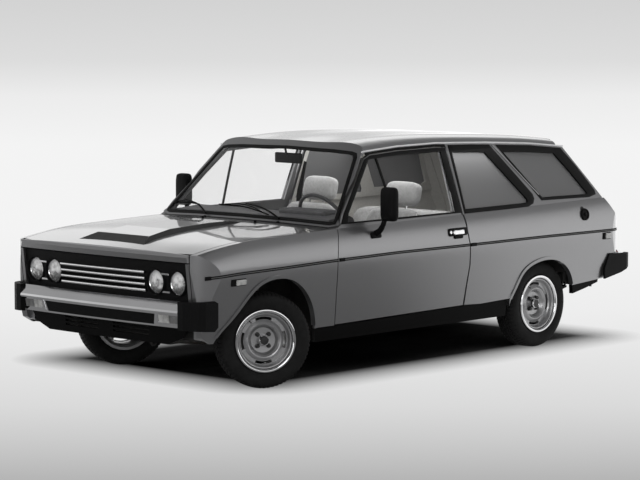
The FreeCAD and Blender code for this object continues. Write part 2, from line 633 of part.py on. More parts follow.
# Bulkhead, toe board and the shelf under the scuttle
bulkhead = box(858, 876, -716, 716, 246.3, 858).fuse(box(720, 876, -700, 700, 846, 858))
bulkhead = bulkhead.fuse(prism_y([(858, 400), (742, 246.3), (718, 246.3), (858, 430)], -690, 690))
bulkhead = bulkhead.cut(box(600, 900, -130, 130, 200, 420)).cut(both(box(600, 1060, 692, 800, 200, 362)))

# Inner front structure: chassis legs, aprons with strut towers, lamp panel
panel_x = 1950.0
inner_front = None
kingpin_y = front_track / 2 - kingpin_offset
for side in (-1, 1):
    leg = box(876.3, 2005, side * 330 - 40, side * 330 + 40, 330, 420)
    apron = box(876.3, panel_x, side * 400 - 6, side * 400 + 6, 400, 720)
    tower = rod((front_axle_x, side * kingpin_y, 640), (front_axle_x, side * kingpin_y, 850), 98)
    tower = tower.cut(rod((front_axle_x, side * kingpin_y, 600), (front_axle_x, side * kingpin_y, 838), 88))
    tower = tower.cut(box(1200, 1500, min(side * 300, side * 400), max(side * 300, side * 400), 600, 1000))
    shelf = box(876.3, panel_x, min(side * 400, side * 725), max(side * 400, side * 725), 712, 724)
    shelf = shelf.cut(rod((front_axle_x, side * kingpin_y, 700), (front_axle_x, side * kingpin_y, 800), 90))
    side_parts = [leg, apron, tower, shelf]
    for k in side_parts:
        inner_front = k if inner_front is None else inner_front.fuse(k)
rad_panel = box(panel_x, panel_x + 15, -725, 725, 330, 724)
rad_panel = rad_panel.cut(box(panel_x - 5, panel_x + 20, -300, 300, 430, 690))
radiator = box(panel_x - 35, panel_x - 0.3, -290, 290, 400, 700)
inner_front = inner_front.fuse(rad_panel).cut(wing).cut(mirrored(wing)).fuse(radiator)
inner_front = inner_front.fuse(both(box(panel_x + 14, 1998, 440, 500, 500, 560)))
for side in (-1, 1):
    inner_front = inner_front.fuse(box(panel_x + 10, 2036, side * (bonnet_arm_y + 20) - 5,
                                      side * (bonnet_arm_y + 20) + 5, 640, 750))
inner_front = inner_front.fuse(tow_eye(1960, 330, 340, 296))
save("front_structure", inner_front.fuse(bulkhead))

engine = fuse(box(1150, 1760, -170, 170, 330, 620), box(1180, 1740, -110, 110, 620, 790),
              box(1250, 1600, -300, -170, 480, 700), box(1250, 1650, 170, 290, 420, 560),
              rod((1760, 0, 520), (1830, 0, 520), 160), box(1200, 1640, -130, 130, 230, 330))

driveline = fuse(rod((1149, 0, 420), (1000, 0, 400), 150), rod((1010, 0, 315), (480, 0, 306), 66),
                 box(900, 1149.7, -70, 70, 300, 460), rod((480, 0, 310), (-950, 0, 290), 32))
driveline = driveline.cut(box(870, 882, -200, 200, 420, 1000))
save("powertrain", engine.fuse(driveline))

exhaust_path = [(1250, -250, 400), (1180, -250, 180), (1000, -200, 160), (300, -200, 160),
                (-300, -200, 160), (-700, -260, 200), (-900, -330, 420), (-1400, -330, 420),
                (-1600, -330, 300), (-2030, -330, 290)]
path = Part.makePolygon([V(*p) for p in exhaust_path])
first = V(*exhaust_path[1]) - V(*exhaust_path[0])
mouth = Part.Wire(Part.makeCircle(22, V(*exhaust_path[0]), first))
exhaust = path.makePipeShell([mouth], True, True, 1)
exhaust = exhaust.fuse(rod((210, -200, 160), (-240, -200, 160), 62))
exhaust = exhaust.fuse(rod((-1625, -330, 298), (-1900, -330, 298), 70))
exhaust = exhaust.cut(rod((-1960, -330, 292), (-2045, -330, 290), 18))
save("exhaust", exhaust)

tank = box(-1880, -1560, -120, 365, 250, 428)
tank = tank.makeFillet(30, tank.Edges)
save("fuel_tank", tank)

# Wheels: one rim and one tyre form, turned about the Y axis with the outer face towards +Y
def turned(profile):
    """A closed (radius, y) outline turned about the Y axis."""
    face = Part.Face(outline([V(r, y, 0) for r, y in profile]))
    return face.revolve(V(0, 0, 0), V(0, 1, 0), 360)


tyre_profile = [(163, 60), (170, 63.5), (191, 65), (196, 74), (212, 80), (236, 82), (262, 78), (280, 68),
                (288, 54), (288, -54), (280, -68), (262, -78), (236, -82), (212, -80), (196, -74),
                (191, -65), (170, -63.5), (163, -60)]
rim_profile = [(162.7, -61), (162.7, 61), (170, 65), (189, 67.5), (190.5, 72), (187, 78), (178, 80),
               (171, 75), (168, 66), (164, 68), (159, 67), (155, 60), (151, 44), (145, 36), (124, 36),
               (113, 45), (104, 51), (98, 49), (88, 40), (79, 26), (75, 21), (37, 19), (35, 33), (16, 34),
               (16, 8), (72, 8), (84, 26), (100, 38), (112, 33), (124, 25), (146, 25), (148, -20),
               (153, -54), (160, -66), (172, -73), (188, -73), (190, -71), (189, -67.5), (170, -65)]
rim = turned(rim_profile)
slot_ring = turned([(125, 15), (125, 60), (142, 60), (142, 15)])
for k in range(4):
    low, high = math.radians(90 * k - 22), math.radians(90 * k + 22)
    reach = 180
    wedge = prism_y([(0, 0), (reach * math.cos(low), reach * math.sin(low)),
                     (reach * math.cos(high), reach * math.sin(high))], 10, 65)
    rim = rim.cut(slot_ring.common(wedge))
for k in range(4):
    a = math.radians(45 + 90 * k)
    nut = Part.makeCylinder(9, 18, V(49 * math.cos(a), 16, 49 * math.sin(a)), V(0, 1, 0))
    rim = rim.fuse(nut)
rim = rim.fuse(turned([(0, 36), (0, 50), (22, 49), (29, 44), (30, 33.5), (15.9, 33.5), (15.9, 36)]))
rim = rim.removeSplitter()
tyre = turned(tyre_profile)


def placed(shape, side, x, y, steer=0.0):
    """A wheel part set at an axle end; the outer face points away from the car."""
    made = shape.copy()
    if side < 0:
        made.rotate(V(0, 0, 0), V(0, 0, 1), 180)
    made.rotate(V(0, 0, 0), V(0, 0, 1), steer)
    made.translate(V(x, y, wheel_z))
    return made


turn = math.radians(-rest_steer_deg)
for side, tag in ((1, "left"), (-1, "right")):
    wx = front_axle_x - side * kingpin_offset * math.sin(turn)
    wy = side * (kingpin_y + kingpin_offset * math.cos(turn))
    save("tyre_front_" + tag, placed(tyre, side, wx, wy, -rest_steer_deg))
    save("rim_front_" + tag, placed(rim, side, wx, wy, -rest_steer_deg))
    save("tyre_rear_" + tag, placed(tyre, side, rear_axle_x, side * rear_track / 2))
    save("rim_rear_" + tag, placed(rim, side, rear_axle_x, side * rear_track / 2))

# Steering knuckles, with the stub axle, the brake and the lower strut tube
for side, tag in ((1, "left"), (-1, "right")):
    parts = [rod((0, -kingpin_offset, -70), (0, -kingpin_offset, 150), 26),
             rod((0, -kingpin_offset, 148), (0, -kingpin_offset, 330), 20),
             rod((0, -kingpin_offset, 0), (0, 30, 0), 15.95), rod((0, -kingpin_offset, 0), (0, -70, 0), 34),
             rod((0, -70, 0), (0, -12, 0), 112),
             box(-120, -20, -kingpin_offset, -kingpin_offset + 26, -30, 0)]
    knuckle = fuse(*parts)
    made = knuckle.copy()
    if side < 0:
        made.rotate(V(0, 0, 0), V(0, 0, 1), 180)
    made.rotate(V(0, 0, 0), V(0, 0, 1), -rest_steer_deg)
    wx = front_axle_x - side * kingpin_offset * math.sin(turn)
    wy = side * (kingpin_y + kingpin_offset * math.cos(turn))
    made.translate(V(wx, wy, wheel_z))
    save("knuckle_" + tag, made)

front_suspension = box(1290, 1404, -330, 330, 240, 300)
for side in (-1, 1):
    y = side * kingpin_y
    inner, far = sorted((side * 300, y))
    strut = rod((front_axle_x, y, 624), (front_axle_x, y, 837.7), 60)
    strut = strut.cut(rod((front_axle_x, y, 600), (front_axle_x, y, 760), 25))
    for piece in (box(1320, 1374, inner, far, 182, 206), strut,
                  box(1310, 1384, side * 320 - 25, side * 320 + 25, 182, 329.7),
                  rod((front_axle_x, y, 180), (front_axle_x, y, 210), 30)):
        front_suspension = front_suspension.fuse(piece)
front_suspension = front_suspension.cut(engine).cut(exhaust)
save("front_suspension", front_suspension)

# Rear axle on leaf springs
spring_y = 455.0
axle = rod((rear_axle_x, -560, wheel_z), (rear_axle_x, 560, wheel_z), 38)
bowl = Part.makeSphere(120, V(rear_axle_x, 0, wheel_z))
axle = axle.fuse(bowl.common(box(-1300, -960, -130, 130, 100, 420)))
for side in (-1, 1):
    axle = axle.fuse(rod((rear_axle_x, side * (rear_track / 2 - 110), wheel_z),
                         (rear_axle_x, side * (rear_track / 2 - 12), wheel_z), 118))
    axle = axle.fuse(rod((rear_axle_x, side * 500, wheel_z),
                         (rear_axle_x, side * (rear_track / 2 + 30), wheel_z), 15.95))
    leaf = prism_y([(-660, 268), (-660, 254), (-800, 238), (-1143, 226), (-1480, 262), (-1760, 330),
                    (-1760, 342), (-1480, 280), (-1143, 250), (-800, 252)],
                   side * spring_y - 28, side * spring_y + 28)
    axle = axle.fuse(leaf).fuse(box(-1190, -1096, side * spring_y - 34, side * spring_y + 34, 222, 300))
axle = axle.cut(exhaust)
save("rear_axle", axle)

# Cabin: dashboard, steering wheel, seats
dash = prism_y([(846, 850), (846, 925), (800, 962), (620, 975), (590, 960), (565, 900), (575, 850),
                (600, 780), (660, 700), (846, 700)], -660, 660)
hood = box(560, 700, 120, 520, 860, 1000)
dash = dash.fuse(hood.makeFillet(20, hood.Edges)).cut(screen_frame)
dash = dash.cut(box(719.7, 900, -720, 720, 845.7, 858.3))
column = rod((650, 320, 830), (540, 320, 897), 30)
dash = dash.fuse(column)
save("dashboard", dash)

wheel_centre = V(495, 320, 925)
tilt = 60.0
steering = Part.makeTorus(182, 13).fuse(Part.makeCylinder(46, 40, V(0, 0, -34)))
for a in (0, 180, 90, 270):
    spoke = box(20, 180, -16, 16, -14, -4)
    spoke.rotate(V(0, 0, 0), V(0, 0, 1), a)
    steering = steering.fuse(spoke)
steering.rotate(V(0, 0, 0), V(0, 1, 0), -tilt)
steering.translate(wheel_centre)
save("steering_wheel", steering)


def seat(y0, y1):
    """One front seat: cushion, leaning back, head rest and its runners."""
    cushion = box(-80, 420, y0, y1, 345, 505)
    cushion = cushion.makeFillet(35, cushion.Edges)
    back = box(-60, 60, y0, y1, 470, 950)
    back = back.makeFillet(40, back.Edges)
    head = box(-45, 45, (y0 + y1) / 2 - 140, (y0 + y1) / 2 + 140, 975, 1140)
    head = head.makeFillet(35, head.Edges)
    posts = [rod((0, (y0 + y1) / 2 + k, 900), (0, (y0 + y1) / 2 + k, 1050), 7) for k in (-60, 60)]
    upper = fuse(back, head, *posts)
    upper.rotate(V(-20, 0, 440), V(0, 1, 0), -16)
    runners = [box(0, 380, y - 20, y + 20, 290.3, 360) for y in (y0 + 60, y1 - 60)]
    return fuse(cushion, upper, *runners)


save("front_seats", Part.makeCompound([seat(130, 600), seat(-600, -130)]))

rear_cushion = box(-620, -180, -530, 530, 300, 452)
rear_cushion = rear_cushion.makeFillet(35, rear_cushion.Edges)
rear_back = box(-760, -640, -530, 530, 482.3, 900)
rear_back = rear_back.makeFillet(35, rear_back.Edges)
rear_base = box(-560, -230, -420, 420, 246.3, 330)
tunnel_room = box(-640, -100, -60.3, 60.3, 240, 352.3).fuse(box(-302, -100, -110.3, 110.3, 240, 400.3))
rear_seat = rear_cushion.fuse(rear_back).cut(box(-720, -560, -600, 600, 200, 300)).fuse(rear_base)
rear_seat = rear_seat.cut(tunnel_room).cut(pan)
save("rear_seat", rear_seat)
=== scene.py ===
"""Looks for a two-door station wagon: paint, bright work, glass, tyres, cabin and a pale studio."""
import math

import bmesh
import bpy
import numpy as np
from mathutils import Matrix, Vector


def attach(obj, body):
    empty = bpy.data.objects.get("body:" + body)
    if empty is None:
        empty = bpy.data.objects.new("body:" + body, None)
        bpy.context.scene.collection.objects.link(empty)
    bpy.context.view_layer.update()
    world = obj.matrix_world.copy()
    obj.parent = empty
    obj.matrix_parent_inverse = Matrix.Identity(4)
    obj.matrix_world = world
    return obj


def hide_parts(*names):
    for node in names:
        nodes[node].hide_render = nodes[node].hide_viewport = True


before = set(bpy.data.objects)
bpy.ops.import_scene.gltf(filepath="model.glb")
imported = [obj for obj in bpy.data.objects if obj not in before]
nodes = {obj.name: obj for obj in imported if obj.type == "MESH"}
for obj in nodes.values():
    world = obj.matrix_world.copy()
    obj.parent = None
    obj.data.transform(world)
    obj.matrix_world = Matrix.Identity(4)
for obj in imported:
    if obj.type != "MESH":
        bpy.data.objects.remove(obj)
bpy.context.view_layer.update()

# The camera stands low off the car's left front corner, about 17 m away, with a long lens.
# Its place was worked out from the wheelbase and the tracks, for a frame of 640 by 480.
camera_yaw, camera_pitch = 0.81486, 0.09371
camera_data = bpy.data.cameras.new("camera")
camera_data.lens = 150.54
camera_data.sensor_width = 36.0
camera_data.clip_end = 3000.0
camera = bpy.data.objects.new("camera", camera_data)
bpy.context.collection.objects.link(camera)
camera.location = (12.631, 11.732, 2.362)
looks_along = Vector((-math.sin(camera_yaw) * math.cos(camera_pitch),
                      -math.cos(camera_yaw) * math.cos(camera_pitch), -math.sin(camera_pitch)))
camera.rotation_euler = looks_along.to_track_quat("-Z", "Y").to_euler()
bpy.context.scene.camera = camera
bpy.context.scene.view_settings.view_transform = "Standard"


# The studio is a pale floor that runs out past the top of the picture, with soft light from above.
# The floor glows with a painted light falloff, from mid grey near the camera to white behind the car and grey
# far off. Under and beside the car it is a lit surface that takes the car's shadow; there its colour is
# painted darker towards the camera, and darker still by occlusion and by a painted shadow under the car and
# out past its far side. In the car's paint the floor shows a painted reflection: a dim grey near the car, and
# beyond it a glow that is bright behind the car and dim on the camera's side.
def add(tree, kind, settings=None, **options):
    """A shader node with its options; settings give its inputs a value or the socket that feeds them."""
    node = tree.nodes.new("ShaderNode" + kind)
    for name, value in options.items():
        setattr(node, name, value)
    for name, value in (settings or {}).items():
        if isinstance(value, bpy.types.NodeSocket):
            tree.links.new(value, node.inputs[name])
        else:
            node.inputs[name].default_value = value
    return node


def math_node(tree, operation, a, b):
    """One arithmetic step; a and b are sockets or numbers."""
    return add(tree, "Math", {0: a, 1: b}, operation=operation).outputs[0]


def vector_node(tree, operation, a, b=(0.0, 0.0, 0.0)):
    """One vector step; a is a socket, b three numbers."""
    node = add(tree, "VectorMath", {0: a, 1: b}, operation=operation)
    return node.outputs["Value" if operation in ("DOT_PRODUCT", "LENGTH") else "Vector"]


def ramp(tree, source, stops):
    """A colour ramp on a 0..1 value; stops are (place, grey or colour)."""
    node = add(tree, "ValToRGB", {"Fac": source})
    elements = node.color_ramp.elements
    while len(elements) < len(stops):
        elements.new(0.5)
    for element, (place, tone) in zip(elements, stops):
        element.position = place
        tone = (tone, tone, tone) if isinstance(tone, float) else tone
        element.color = (*tone, 1.0)
    return node.outputs["Color"]


def blend(tree, share, first, second):
    """Mixes two shader nodes by a share."""
    return add(tree, "MixShader", {0: share, 1: first.outputs[0], 2: second.outputs[0]})


def new_material(name):
    """An empty material and its node tree."""
    material = bpy.data.materials.new(name)
    material.use_nodes = True
    material.node_tree.nodes.clear()
    return material, material.node_tree


def show(tree, shader):
    """Makes a shader node the surface of its material."""
    add(tree, "OutputMaterial", {"Surface": shader.outputs[0]})


def mesh_object(name, points, faces):
    """A mesh object at the origin from plain arrays of points (metres) and faces."""
    mesh = bpy.data.meshes.new(name)
    mesh.from_pydata(np.asarray(points, float).tolist(), [], [list(map(int, f)) for f in faces])
    mesh.update()
    thing = bpy.data.objects.new(name, mesh)
    bpy.context.collection.objects.link(thing)
    return thing


floor_reach = 900.0
floor = mesh_object("studio_floor", floor_reach * np.array([(-1, -1, 0), (1, -1, 0), (1, 1, 0), (-1, 1, 0)]),
                    [(0, 1, 2, 3)])
material, tree = new_material("studio_floor")
place = add(tree, "TexCoord").outputs["Object"]
toward = vector_node(tree, "DOT_PRODUCT", place, (math.sin(camera_yaw), math.cos(camera_yaw), 0.0))
depth = math_node(tree, "DIVIDE", 6.0, math_node(tree, "SUBTRACT", 11.0, toward))
# painted light: the floor's glow is white behind the car and grey towards the camera and far off
far_painted_falloff = ramp(tree, depth, [(0.0, 0.64), (0.02, 0.66), (0.073, 0.72), (0.113, 0.84), (0.174, 0.90),
                              (0.30, 0.90), (0.45, 0.85), (0.68, 0.70), (0.91, 0.47), (1.0, 0.42)])
# painted shade: the lit floor's own colour darkens towards the camera
near_painted_falloff = ramp(tree, depth, [(0.3, 0.86), (0.45, 0.82), (0.68, 0.71), (0.91, 0.49)])
# painted shade: occlusion within 0.8 m darkens the floor's colour under and round the car
shade = add(tree, "AmbientOcclusion", {"Distance": 0.8, "Color": near_painted_falloff}, samples=12)
across = vector_node(tree, "DOT_PRODUCT", place, (0.0, 1.0, 0.0))
# painted shadow: the colour falls from full at y = 0.1 m to 0.03 at y = -0.9 m and beyond, under the car's
# far half and past its far side
under = ramp(tree, math_node(tree, "ADD", across, 0.9), [(0.0, 0.03), (0.5, 0.15), (1.0, 1.0)])
under = math_node(tree, "MULTIPLY", shade.outputs["AO"], under)
painted_shadow_tone = add(tree, "Mix", {"Factor": 1.0, "A": shade.outputs["Color"], "B": under},
             data_type="RGBA", blend_type="MULTIPLY")
lit_floor = add(tree, "BsdfDiffuse", {"Color": painted_shadow_tone.outputs["Result"]})
# the lit floor with its painted shade is used in a box round the car and fades out over half a metre
car_middle, car_half = (0.25, 0.24, 0.0), (1.5, 0.77, 0.0)
beside = vector_node(tree, "ABSOLUTE", vector_node(tree, "ADD", place, car_middle))
beside = vector_node(tree, "MAXIMUM", vector_node(tree, "SUBTRACT", beside, car_half))
reach = math_node(tree, "SUBTRACT", vector_node(tree, "LENGTH", beside), 0.02)
away = ramp(tree, math_node(tree, "DIVIDE", reach, 0.5), [(0.0, 0.0), (0.5, 0.5), (1.0, 1.0)])
path = add(tree, "LightPath").outputs
straight = math_node(tree, "MAXIMUM", path["Is Camera Ray"], path["Is Transmission Ray"])
any_view = math_node(tree, "MAXIMUM", straight, path["Is Glossy Ray"])
# painted reflection: glossy rays see the floor glow 1.7 times its tone behind the car and 0.27 times on the
# camera's side, and a dim grey near the car
painted_reflection_tone = ramp(tree, depth, [(0.0, 1.0), (0.35, 1.0), (0.52, 0.7), (0.58, 0.16), (1.0, 0.14)])
painted_reflection_tone = math_node(tree, "MULTIPLY", painted_reflection_tone, 1.7)
reflection_gain = math_node(tree, "MULTIPLY", math_node(tree, "SUBTRACT", painted_reflection_tone, 1.0), path["Is Glossy Ray"])
flat_floor = add(tree, "Emission", {"Color": far_painted_falloff, "Strength": math_node(tree, "ADD", reflection_gain, 1.0)})
dim_floor = add(tree, "BsdfDiffuse", {"Color": (0.38, 0.38, 0.38, 1)})
near_floor = blend(tree, straight, dim_floor, lit_floor)
far_floor = blend(tree, any_view, dim_floor, flat_floor)
show(tree, blend(tree, away, near_floor, far_floor))
floor.data.materials.append(material)

world = bpy.data.worlds.new("studio")
bpy.context.scene.world = world
world.use_nodes = True
tree = world.node_tree
tree.nodes.clear()
direction = add(tree, "TexCoord").outputs["Generated"]
height = add(tree, "SeparateXYZ", {0: direction}).outputs["Z"]
near_sky = ramp(tree, height, [(0.0, 1.35), (0.08, 1.3), (0.16, 1.08), (0.36, 0.35), (0.7, 0.30),
                               (0.88, 0.04)])
far_sky = ramp(tree, height, [(0.0, 0.95), (0.10, 0.70), (0.14, 0.75), (0.19, 1.15), (0.31, 1.35),
                              (0.42, 0.4), (0.7, 0.30), (0.88, 0.04)])
behind = vector_node(tree, "DOT_PRODUCT", direction, (-math.sin(camera_yaw), -math.cos(camera_yaw), 0.0))
behind = ramp(tree, behind, [(0.35, 0.0), (0.85, 1.0)])
sky = add(tree, "Mix", {"Factor": behind, "A": near_sky, "B": far_sky}, data_type="RGBA")
room = add(tree, "Background", {"Color": sky.outputs["Result"]})
seen = add(tree, "Background", {"Color": (0.70, 0.70, 0.71, 1)})
camera_ray = add(tree, "LightPath").outputs["Is Camera Ray"]
add(tree, "OutputWorld", {"Surface": blend(tree, camera_ray, room, seen).outputs[0]})


def soft_box(name, place, aim, size, watts):
    """A rectangular lamp that faces aim."""
    data = bpy.data.lights.new(name, "AREA")
    data.shape = "RECTANGLE"
    data.size, data.size_y = size
    data.energy = watts
    lamp = bpy.data.objects.new(name, data)
    bpy.context.collection.objects.link(lamp)
    lamp.location = place
    lamp.rotation_euler = (Vector(aim) - Vector(place)).to_track_quat("-Z", "Y").to_euler()
    return lamp


soft_box("overhead", (-0.5, -1.0, 6.0), (0, 0, 0), (9.0, 6.0), 520).visible_glossy = False
soft_box("left_front", (7.0, 7.0, 4.5), (0.5, 0.5, 0.6), (4.0, 3.0), 150)
soft_box("right_front", (7.1, -5.2, 7.0), (2.0, 0.0, 0.5), (4.0, 2.0), 45)
cabin_light = soft_box("cabin", (-0.4, 0.0, 1.33), (-0.4, 0.0, 0.0), (0.9, 1.5), 14)
cabin_light.visible_camera = cabin_light.visible_glossy = False


# The body is pressed steel in a mid-grey metallic paint under a clear coat, with fine flakes.
# Every outer panel is a CAD node; the paint goes on them as they are.
def noise(tree, scale, detail=2.0):
    """Noise on object coordinates."""
    place = add(tree, "TexCoord").outputs["Object"]
    return add(tree, "TexNoise", {"Scale": scale, "Detail": detail, "Vector": place}).outputs["Fac"]


def dents(tree, height, strength):
    """A bump of up to a millimetre, as a normal."""
    return add(tree, "Bump", {"Strength": strength, "Distance": 0.001, "Height": height}).outputs[0]


def finish(name, colour, roughness=0.5, metallic=0.0, variation=0.1, grain=40.0, bump=0.0, bump_grain=400.0,
           coat=0.0, coat_roughness=0.05, rough_variation=0.05, sheen=0.0, specular=0.5):
    """A surface whose colour and roughness wander a little, with a fine bump and an optional clear coat."""
    material, tree = new_material(name)
    colour = np.asarray(colour, float)
    low, high = tuple(colour * (1 - variation)), tuple(np.minimum(colour * (1 + variation), 1.0))
    rough = math_node(tree, "MULTIPLY", noise(tree, grain * 0.4), 2 * rough_variation)
    settings = {"Metallic": metallic, "Specular IOR Level": specular, "Sheen Weight": sheen,
                "Coat Weight": coat, "Coat Roughness": coat_roughness,
                "Base Color": ramp(tree, noise(tree, grain, 4.0), [(0.3, low), (0.7, high)]),
                "Roughness": math_node(tree, "ADD", rough, roughness - rough_variation)}
    if bump:
        settings["Normal"] = dents(tree, noise(tree, bump_grain), bump)
    show(tree, add(tree, "BsdfPrincipled", settings))
    return material


def dress(material, *names):
    """Gives CAD nodes their material."""
    for name in names:
        nodes[name].data.materials.clear()
        nodes[name].data.materials.append(material)


paint = finish("grey_metallic_paint", (0.25, 0.25, 0.255), roughness=0.30, metallic=0.9, variation=0.08,
               grain=2500.0, coat=1.0, coat_roughness=0.02, rough_variation=0.02)
dress(paint, "wing_left", "wing_right", "bonnet", "nose_panel", "screen_frame", "roof", "quarter_left",
      "quarter_right", "tailgate", "rear_panel", "door_left", "door_right")

# Black parts: grained plastic bumper ends and grille, satin black sills and valance, underbody coating.
# The plastic is moulded, the sills are painted, and the coating is sprayed on thick and rough.
black_plastic = finish("black_grained_plastic", (0.004, 0.004, 0.0042), roughness=0.55, specular=0.1,
                       variation=0.2, grain=30.0, bump=0.35, bump_grain=900.0)
satin_black = finish("satin_black_paint", (0.002, 0.002, 0.002), specular=0.06, variation=0.15, grain=12.0,
                     bump=0.08, bump_grain=220.0)
under_coat = finish("underbody_coating", (0.02, 0.019, 0.018), roughness=0.8, variation=0.5, grain=9.0,
                    bump=0.6, bump_grain=160.0)
dress(black_plastic, "grille", "bumper_ends", "door_trim_left", "door_trim_right")
dress(satin_black, "lower_trim")
dress(under_coat, "floor_pan", "front_structure", "front_suspension", "rear_axle", "fuel_tank")

# Bright work and bare metal: chromed steel bumpers, cast engine and hubs, a dull steel exhaust.
# Chrome is polished plating; the castings and the pipe are left as they come.
chrome = finish("chromed_steel", (0.80, 0.80, 0.81), roughness=0.07, metallic=1.0, variation=0.03, grain=6.0,
                rough_variation=0.03)
cast = finish("cast_metal", (0.16, 0.155, 0.15), roughness=0.6, metallic=0.7, variation=0.35, grain=14.0,
              bump=0.5, bump_grain=300.0)
bare_steel = finish("dull_steel", (0.22, 0.20, 0.18), metallic=0.9, variation=0.35, grain=10.0,
                    bump=0.2, bump_grain=120.0)
dress(chrome, "front_bumper", "rear_bumper")
dress(cast, "powertrain", "knuckle_left", "knuckle_right")
dress(bare_steel, "exhaust")

# Glass: clear safety glass in front, doors and tailgate, with a mirror gloss that grows at a glancing
# angle, and tinted panes in the rear sides. Lamp glass and tail lamps are dressed here too.
glass, tree = new_material("safety_glass")
facing = add(tree, "LayerWeight", {"Blend": 0.5}).outputs["Facing"]
share = math_node(tree, "MULTIPLY", math_node(tree, "POWER", facing, 5.0), 0.9)
share = math_node(tree, "ADD", share, 0.03)
pane = blend(tree, share, add(tree, "BsdfTransparent"), add(tree, "BsdfGlossy", {"Roughness": 0.02}))
show(tree, pane)
side_glass, tree = new_material("tinted_side_glass")
tint = add(tree, "BsdfTransparent", {"Color": (0.20, 0.20, 0.205, 1)})
haze = add(tree, "BsdfPrincipled", {"Base Color": (0.25, 0.25, 0.252, 1), "Roughness": 0.04})
show(tree, blend(tree, 0.6, tint, haze))
lamp_glass = finish("lamp_glass", (0.7, 0.7, 0.7), roughness=0.15, metallic=0.4)
tail_red = finish("tail_lens_red", (0.35, 0.01, 0.01), roughness=0.15, coat=1.0)
dress(glass, "windscreen", "door_glass_left", "door_glass_right", "tailgate_glass")
dress(side_glass, "quarter_glass")
dress(lamp_glass, "front_lamps")
dress(tail_red, "tail_lamps")

# Tyres are black rubber, rims are steel in silver paint, seats are pale cloth and the dashboard is
# grained black trim. The detailed pieces further down use the same finishes.
rubber = finish("tyre_rubber", (0.009, 0.009, 0.009), roughness=0.75, specular=0.2, variation=0.3, grain=25.0,
                bump=0.3, bump_grain=500.0)
silver = finish("wheel_silver_paint", (0.38, 0.38, 0.385), roughness=0.35, metallic=0.75, variation=0.06,
                grain=1800.0, coat=0.4)
for corner in ("front_left", "front_right", "rear_left", "rear_right"):
    dress(rubber, "tyre_" + corner)
    dress(silver, "rim_" + corner)
cloth = finish("seat_cloth", (0.27, 0.27, 0.267), roughness=0.9, variation=0.12, grain=60.0, bump=0.6,
               bump_grain=900.0, sheen=0.3)
cabin_trim = finish("cabin_trim", (0.05, 0.05, 0.052), roughness=0.6, variation=0.15, grain=30.0, bump=0.3,
                    bump_grain=900.0)
dress(cloth, "front_seats", "rear_seat")
dress(cabin_trim, "dashboard", "steering_wheel")

# Inside, the pillars, roof and sides are lined in pale vinyl; the scuttle below the screen is matt black.
# Both are second finishes on the CAD nodes, on the faces that look into the cabin or up at the screen.
lining = finish("pale_lining", (0.50, 0.49, 0.46), roughness=0.8, variation=0.06, grain=50.0, bump=0.3,
                bump_grain=900.0)
for node in ("quarter_left", "quarter_right", "roof", "tailgate", "screen_frame"):
    mesh = nodes[node].data
    centre, normal = np.zeros((2, len(mesh.polygons), 3))
    mesh.polygons.foreach_get("center", centre.reshape(-1))
    mesh.polygons.foreach_get("normal", normal.reshape(-1))
    inward = normal[:, 1] * np.sign(centre[:, 1]) < -0.3
    overhead = (normal[:, 2] < -0.6) & (centre[:, 2] > 1.2)
    rearward = (normal[:, 0] > 0.3) & (centre[:, 0] < -1.3)
    forward = (normal[:, 0] < -0.3) & (centre[:, 0] > 0.3)
    chosen = ((inward | overhead | rearward | forward) & (centre[:, 2] > 0.6)).astype(np.int32)
    mesh.materials.append(lining)
    if node == "screen_frame":
        scuttle = (normal[:, 2] > 0.85) & (centre[:, 2] < 0.99) & (centre[:, 0] > 0.75)
        chosen += 2 * scuttle
        mesh.materials.append(black_plastic)
    mesh.polygons.foreach_set("material_index", chosen)


# The body's own surfaces, to set the details on: side, glass side, nose, tail and windscreen.
# They repeat the CAD model's lines: the side y(x, z), the nose and tail x(y, z), the screen x(y, z).
# From here on sizes are in millimetres, and every piece is a grid of points that solid() turns to metres.
def unit(v):
    """Vectors of length one."""
    return v / np.maximum(np.linalg.norm(v, axis=-1, keepdims=True), 1e-9)


def smooth_line(points, count):
    """count points on the natural cubic spline through the given ones, by chord length."""
    p = np.asarray(points, float)
    gaps = np.linalg.norm(np.diff(p, axis=0), axis=1)
    t = np.concatenate([[0], np.cumsum(gaps)])
    n = len(p)
    system, right = np.zeros((n, n)), np.zeros_like(p)
    system[0, 0] = system[-1, -1] = 1
    i = np.arange(1, n - 1)
    system[i, i - 1], system[i, i], system[i, i + 1] = gaps[:-1], 2 * (gaps[:-1] + gaps[1:]), gaps[1:]
    right[1:-1] = 6 * np.diff(np.diff(p, axis=0) / gaps[:, None], axis=0)
    bend = np.linalg.solve(system, right)
    s = np.linspace(0, t[-1], count)
    k = np.clip(np.searchsorted(t, s, side="right") - 1, 0, n - 2)
    h, a, b = gaps[k][:, None], (t[k + 1] - s)[:, None], (s - t[k])[:, None]
    return ((bend[k] * a ** 3 + bend[k + 1] * b ** 3) / (6 * h)
            + (p[k] / h - bend[k] * h / 6) * a + (p[k + 1] / h - bend[k + 1] * h / 6) * b)


def circle(count):
    """count angles round a full turn."""
    return np.linspace(0, 2 * math.pi, count, endpoint=False)


def chain(points, step, closed=False):
    """Straight runs between the given points, cut into steps no longer than step."""
    p = np.asarray(points, float)
    q = np.roll(p, -1, axis=0) if closed else p[1:]
    runs = [a + (b - a) * np.arange(k)[:, None] / k
            for a, b, k in ((a, b, max(1, math.ceil(np.linalg.norm(b - a) / step))) for a, b in zip(p, q))]
    return np.concatenate(runs if closed else runs + [p[-1:]])


